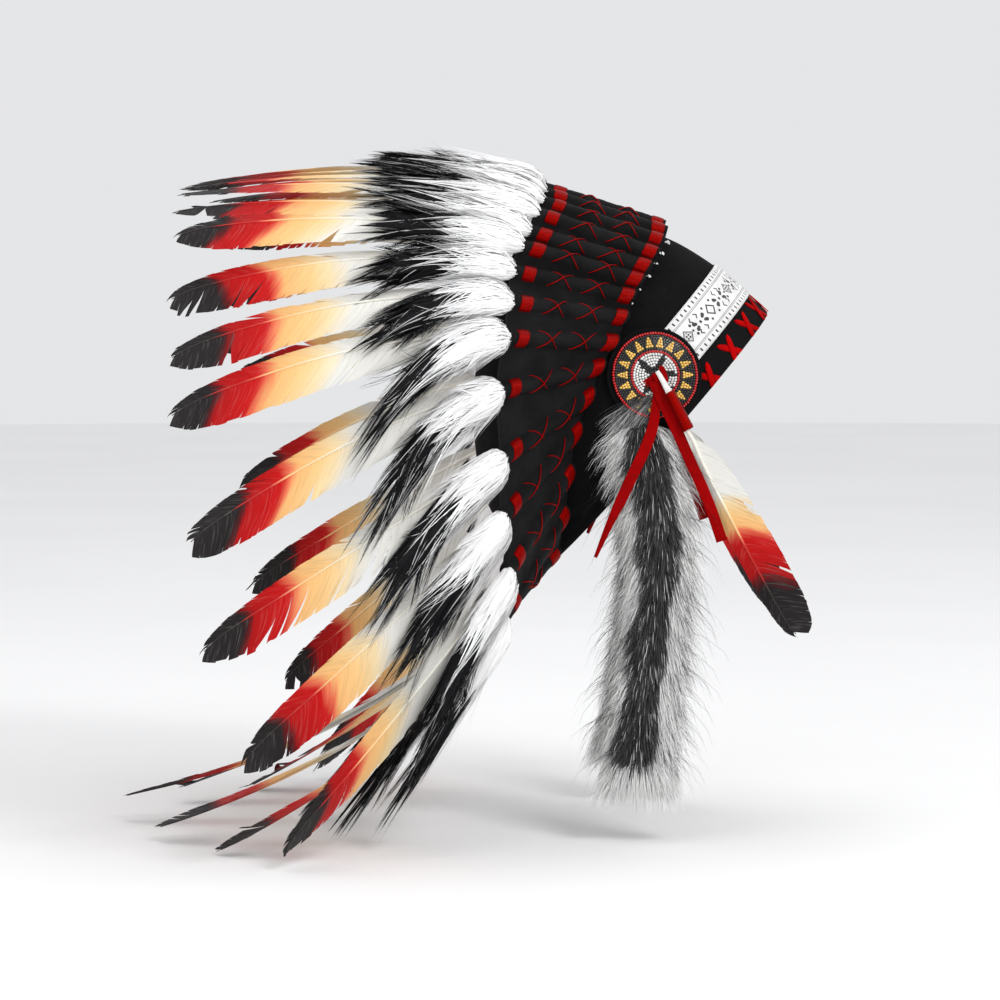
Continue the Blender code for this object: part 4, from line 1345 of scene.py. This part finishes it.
def tuft_hair(form, k, rng, kind):
    """Strands of a tuft in clumps that each draw to a point."""
    count, clumps, start, finish, wide, spread, bow = TUFT_STRANDS[kind]
    rows = 7
    t = np.linspace(0, 1, rows)[None]
    clump = rng.integers(0, clumps, count)
    clump_turn = (0.5 - np.cos(np.linspace(0, np.pi, clumps)) * 0.55 + rng.normal(0, 0.05, clumps)) * np.pi
    clump_end = rng.uniform(*finish, clumps)
    clump_bend = rng.normal(0, 1, (clumps, 2)) * (bow, bow * 0.35)
    turn_start = clump_turn[clump] + rng.normal(0, 0.42, count)
    turn = turn_start[:, None] + (clump_turn[clump] - turn_start)[:, None] * t**1.2
    root = rng.uniform(*start, count)
    end = root + (clump_end[clump] - root) * rng.uniform(0.82, 1.03, count)
    distance = root[:, None] + (end - root)[:, None] * t
    point, side, out = tuft_line(k, distance, 1.0 if kind == "over" else 1.3)
    body = smooth_rows(TUFT_BODY, distance)[..., 0]
    own = rng.normal(0, 1.0, (count, 1)) * (1 - 0.85 * t)
    radius_side = (TUFT_CORE_WIDE * body + 0.6) * (1 + (spread - 1) * t) + own * 0.6 + 1.8 * t
    radius_out = (TUFT_CORE_HIGH * body + 0.5) * (1 + (spread - 1) * t) + own * 0.5 + 0.8 * t
    bend = clump_bend[clump][:, None] * (t**2)[..., None]
    side_by = np.cos(turn) * radius_side + bend[..., 0]
    depth = -1.5 if kind == "under" else 0.0
    height = 0.8 if kind == "over" else 0.0
    out_by = np.maximum(np.sin(turn) * radius_out + depth, -3.0) + bend[..., 1] + height
    paths = over_floor(point + (side * side_by[..., None] + out * out_by[..., None]) * MM)
    facing = side * np.cos(turn)[..., None] + out * np.sin(turn)[..., None]
    facing = facing + rng.normal(0, 0.16, (count, 1, 3))
    width = wide * MM * rng.uniform(0.7, 1.3, (count, 1)) * (1 - 0.8 * t**1.4)
    if kind in ("under", "stray"):
        tone = np.where(rng.random((count, 1)) < 0.93, 0.0, 0.35) * np.ones_like(t)
    else:
        tone = 1.0 - rng.random((count, 1)) ** 3 * 0.3 - 0.1 * t
    strands(form, paths, width, facing, tone=tone)


def make_tufts():
    """Plumes at each feather's root: a soft core under black down, white plumes and a few loose hairs."""
    rows, sides = 24, 20
    turn = np.linspace(0, 2 * np.pi, sides, endpoint=False)[None]
    for node, names in TUFT_GROUPS:
        form = Form()
        for name in names:
            k = ORDER.index(name)
            rng = np.random.default_rng(300 + k)
            distance = np.broadcast_to(np.linspace(-2.2, 80, rows)[:, None], (rows, sides))
            point, side, out = tuft_line(k, distance)
            body = smooth_rows(TUFT_BODY, distance)[..., 0] * (1 - 0.6 * ease(60, 80, distance))
            body = body * (1 + 0.05 * np.sin(turn * 5 + distance * 0.06 + k))
            side_by = np.cos(turn) * TUFT_CORE_WIDE * body
            out_by = np.sin(turn) * TUFT_CORE_HIGH * body
            core = point + (side * side_by[..., None] + out * out_by[..., None]) * MM
            form.rings(core, tone=1 - ease(32, 40, distance + 4 * np.sin(turn * 7 + k)))
            for kind in TUFT_STRANDS:
                tuft_hair(form, k, rng, kind)
        form.piece(f"plume_{node}", PLUME, "plume_white", node)


# Fur tails


def tail_frame(place):
    """Middle, half width and half thickness of the right tail at shares of its length."""
    middle, _, _, _ = ROSETTE
    width, thickness, swing = np.moveaxis(smooth_rows(TAIL_SECTIONS, place), -1, 0)
    half = TAIL_THICKNESS / 2 * thickness
    widest = max(row[2] for row in CROWN_SECTIONS)
    x = middle[0] - TAIL_BEHIND + TAIL_WIDTH * swing
    y = -(CROWN_WIDTH / 2 * widest + TAIL_GAP + half)
    z = middle[2] - TAIL_DROP - TAIL_LENGTH * place
    return np.stack([x, y, z], -1), TAIL_WIDTH / 2 * width, half


def tail_skin(place, turn, share):
    """Points round the tail at a share of its thickness, and the ways out of it there."""
    centre, wide, half = tail_frame(place)
    level = np.zeros_like(wide * turn)
    ring = np.stack([np.cos(turn) * wide, np.sin(turn) * half, level], -1)
    out = np.stack([np.cos(turn) * half, np.sin(turn) * wide, level], -1)
    return centre + ring * share, unit(out)


def in_stripe(place, turn, wider=0.0):
    """Whether a spot of the tail's face lies in its dark stripe, which runs off the middle lower down."""
    lower = ease(0.2, 0.55, place)
    return (np.abs(np.cos(turn) + 0.26 * lower) < 0.78 - 0.12 * lower + wider) & (np.sin(turn) < 0)


def fur(form, rng, kind, count, places, length, flare, wide):
    """Hairs of the tail: its striped coat, the pale fringe below, or long dark guard hairs."""
    t = np.linspace(0, 1, 4)[None, :, None]
    place = rng.uniform(*places, count)
    turn = rng.uniform(0, 2 * np.pi, count)
    root, normal = tail_skin(place, turn, TAIL_HAIR_ROOT)
    stripe = in_stripe(place, turn, 0.08 * np.sin(place * 25))
    wave = place * 61 + turn * 3
    clump = np.stack([np.sin(wave), 0.3 * np.sin(place * 43 - turn * 5), np.zeros(count)], -1)
    reach = (rng.uniform(*length, count) * np.where(stripe, 0.7, 1.0))[:, None, None] * MM
    high = 1 + 0.9 * (1 - ease(0, 0.3, place))
    out = normal * (1, 0.42, 0) * (rng.uniform(*flare, count) * high)[:, None]
    out[:, 0] += np.cos(turn) * 0.3
    out += clump * 0.12 + rng.normal(0, 0.10, (count, 3)) * (1, 0.4, 1)
    hang = WORLD_UP * (0.40 * t + 0.38 * t**2)
    paths = over_floor(root[:, None] + reach * (out[:, None] * (t - 0.40 * t**2) - hang))
    streak = np.sin(wave) + np.sin(place * 37 - turn * 7) > -0.9
    pale = rng.random(count) < np.where(stripe, 0.07, np.where(streak, 0.98, 0.75))
    tip = np.where(pale, rng.uniform(0.85, 1.0, count), rng.uniform(0.0, 0.14, count))
    base = np.where(stripe, 0.0, 0.5)
    if kind == "fringe":
        tip, base = rng.uniform(0.8, 1.0, count), np.full(count, 0.6)
    if kind == "guard":
        tip, base = np.full(count, 0.02), np.full(count, 0.05)
    tone = base[:, None] + (tip - base)[:, None] * np.array([0.0, 0.5, 0.9, 1.0])[None]
    facing = normal[:, None] + rng.normal(0, 0.5, (count, 1, 3))
    strands(form, paths, wide * MM * np.array([1.0, 0.9, 0.55, 0.1])[None], facing, tone=tone)


def fur_over_rosette(form, rng, count):
    """Hair that starts over the rosette's lower edge and sweeps back over the sleeves' roots."""
    t = np.linspace(0, 1, 5)[None, :, None]
    back, low = rng.uniform(2, 15, (count, 1)), rng.uniform(0, 1, (count, 1))
    start = from_rosette(np.hstack([-back, 1.0 + rng.random((count, 1)) * 4, -11 - 16 * low - 0.3 * back]))
    way = np.array([-1.0, 0.0, -0.42]) + np.hstack([0.35 * (1 - low), 0 * low, -0.5 * low])
    way = unit(way + rng.normal(0, 0.16, (count, 3)))
    reach = rng.uniform(12, 27, count)[:, None, None] * MM
    paths = start[:, None] + way[:, None] * (1, 0.4, 1) * reach * t - WORLD_UP * 7 * MM * t**2
    tip = np.where(rng.random((count, 1)) < 0.25 + 0.6 * low, 0.9, 0.08)
    facing = np.array([0, 1.0, 0]) + rng.normal(0, 0.3, (count, 1, 3))
    strands(form, paths, 0.42 * MM * (1 - 0.8 * t[..., 0]), facing, tone=0.04 + (tip - 0.04) * t[..., 0])


def make_fur_tails():
    """Fur over a soft core, which shows only as its dark ground."""
    rng = np.random.default_rng(21)
    form = Form()
    place = np.linspace(0, 0.93, 50)[:, None]
    turn = np.linspace(0, 2 * np.pi, 24, endpoint=False)[None]
    place, turn = np.broadcast_arrays(place, turn)
    core, _ = tail_skin(place, turn, TAIL_CORE)
    form.rings(core, tone=np.where(in_stripe(place, turn, 0.05), 0.0, 0.42))
    for layer in TAIL_HAIR:
        fur(form, rng, *layer)
    fur_over_rosette(form, rng, 1100)
    form.both_sides("fur_strands", FUR, "fur_grey", "fur_tail")


# Pendants


def cuff_frame():
    """Where the cuff starts and ends, and its directions along, sideways and out of its face."""
    start = from_rosette(CUFF_START)
    along = unit(np.array(CUFF_AIM) * (1, -1, 1))
    side = unit(np.cross(along, (0, 1, 0)))
    return start, start + along * CUFF_LENGTH, along, side, np.cross(side, along)


def make_cuffs():
    """Red thread wound round the pendants' quills."""
    _, bottom, _, side, face = cuff_frame()
    top = from_rosette(CUFF_TOP)
    turn = np.linspace(0, 2 * np.pi, 20, endpoint=False)
    profile = [(0.2, 1.8), (0.0, 2.8)]
    profile += [(0.5 + 27 * t, 3.2 + 0.5 * t + 0.08 * math.sin(t * 70)) for t in np.linspace(0, 1, 26)]
    profile += [(28.0, 3.2), (27.6, 2.0), (20.0, 2.0)]
    down, radius = np.array(profile).T[..., None, None]
    ring = np.outer(np.cos(turn), side) + np.outer(np.sin(turn), face)
    cuff = Form()
    cuff.rings(
        top + (bottom - top) * down * MM / CUFF_LENGTH + ring * radius * MM,
        along=np.repeat(down.ravel(), len(turn)) * 0.8,
        across=np.tile(np.degrees(turn), len(profile)),
    )
    cuff.both_sides("cuff_thread", THREAD, "thread_red", "pendant_cuff")


def make_thongs():
    """White leather thongs: one strip over the knot, and its other arm under it."""
    thong = Form()
    route = smooth_route(THONG_ROUTE, 6)
    half = np.interp(np.linspace(0, 1, len(route)), (0, 0.5, 0.8, 1), (1.35, 1.5, 1.9, 2.1)) * MM
    thong.rings(strip_rings(route, half, THONG_THICKNESS))
    arm = smooth_route(THONG_ARM_ROUTE, 6)
    thong.rings(strip_rings(arm, np.linspace(0.9, 1.5, len(arm)) * MM, THONG_THICKNESS * 0.9))
    thong.both_sides("thong_strip", THONG_LEATHER, "thong_white", "thong")


def make_pendants():
    """Feathers that hang from the cuffs, with their dyed bands lower down than on the fan."""
    _, bottom, along, _, face = cuff_frame()
    line = {"end": bottom, "along": along, "chord": unit(np.array(PENDANT_AIM) * (1, -1, 1))}
    out = np.array(Matrix.Rotation(PENDANT_TURN, 3, Vector(along))) @ -face
    size = (PENDANT_LENGTH, PENDANT_WIDTH)
    pendant = Feather(line, lambda place: out, size, 0.0, 1, 77, 0.6, PENDANT_SLITS, PENDANT_BANDS, 0.12)
    form = Form()
    for side in (1, -1):
        pendant.vane(form, side)
    pendant.shaft(form)
    form.both_sides("pendant_vane", FEATHER, "feather", "pendant_feather")


# Studio


def make_studio():
    """A pale paper floor under a soft key light, a fill and a top light."""
    scene = bpy.context.scene
    scene.view_settings.view_transform = "Standard"
    paper = Finish("studio_paper", {"Specular IOR Level": 0.1, "Roughness": 0.9})
    paper.paint(paper.mix(paper.noise(3).rise(0.3, 0.7), (0.90, 0.90, 0.90), (0.92, 0.92, 0.92)))
    turn = np.linspace(0, 2 * np.pi, 96, endpoint=False)
    disc = np.stack([np.cos(turn) * 6, np.sin(turn) * 6, np.full(96, FLOOR_HEIGHT)], -1)
    mesh = bpy.data.meshes.new("studio_floor")
    mesh.from_pydata(disc.tolist(), [], [list(range(96))])
    mesh.materials.append(paper.material)
    floor = bpy.data.objects.new("studio_floor", mesh)
    scene.collection.objects.link(floor)
    world = bpy.data.worlds.new("studio")
    world.use_nodes = True
    world.node_tree.nodes["Background"].inputs[0].default_value = (0.98, 0.985, 1.0, 1)
    world.node_tree.nodes["Background"].inputs[1].default_value = 0.80
    scene.world = world
    for name, place, size, power in (
        # place and size in metres, power in watts
        ("key", (1.2, -2.0, 1.8), 1.0, 38),
        ("fill", (-1.9, -1.9, 0.9), 1.4, 7),
        ("top", (-0.3, 0.1, 2.4), 1.6, 10),
    ):
        data = bpy.data.lights.new(name, "AREA")
        data.energy = power
        data.size = size
        light = bpy.data.objects.new(name, data)
        light.location = place
        light.rotation_euler = (Vector((-0.1, 0, 0)) - Vector(place)).to_track_quat("-Z", "Y").to_euler()
        scene.collection.objects.link(light)


make_crown()
make_braid_band()
make_brow_lacing()
make_rosette_backings()
make_rosette_beadwork()
make_rosette_knots()
make_sleeves()
make_sleeve_seam()
make_thread_bands()
make_crossed_threads()
make_stitch_beads()
make_feathers()
make_tufts()
make_fur_tails()
make_cuffs()
make_thongs()
make_pendants()
make_studio()
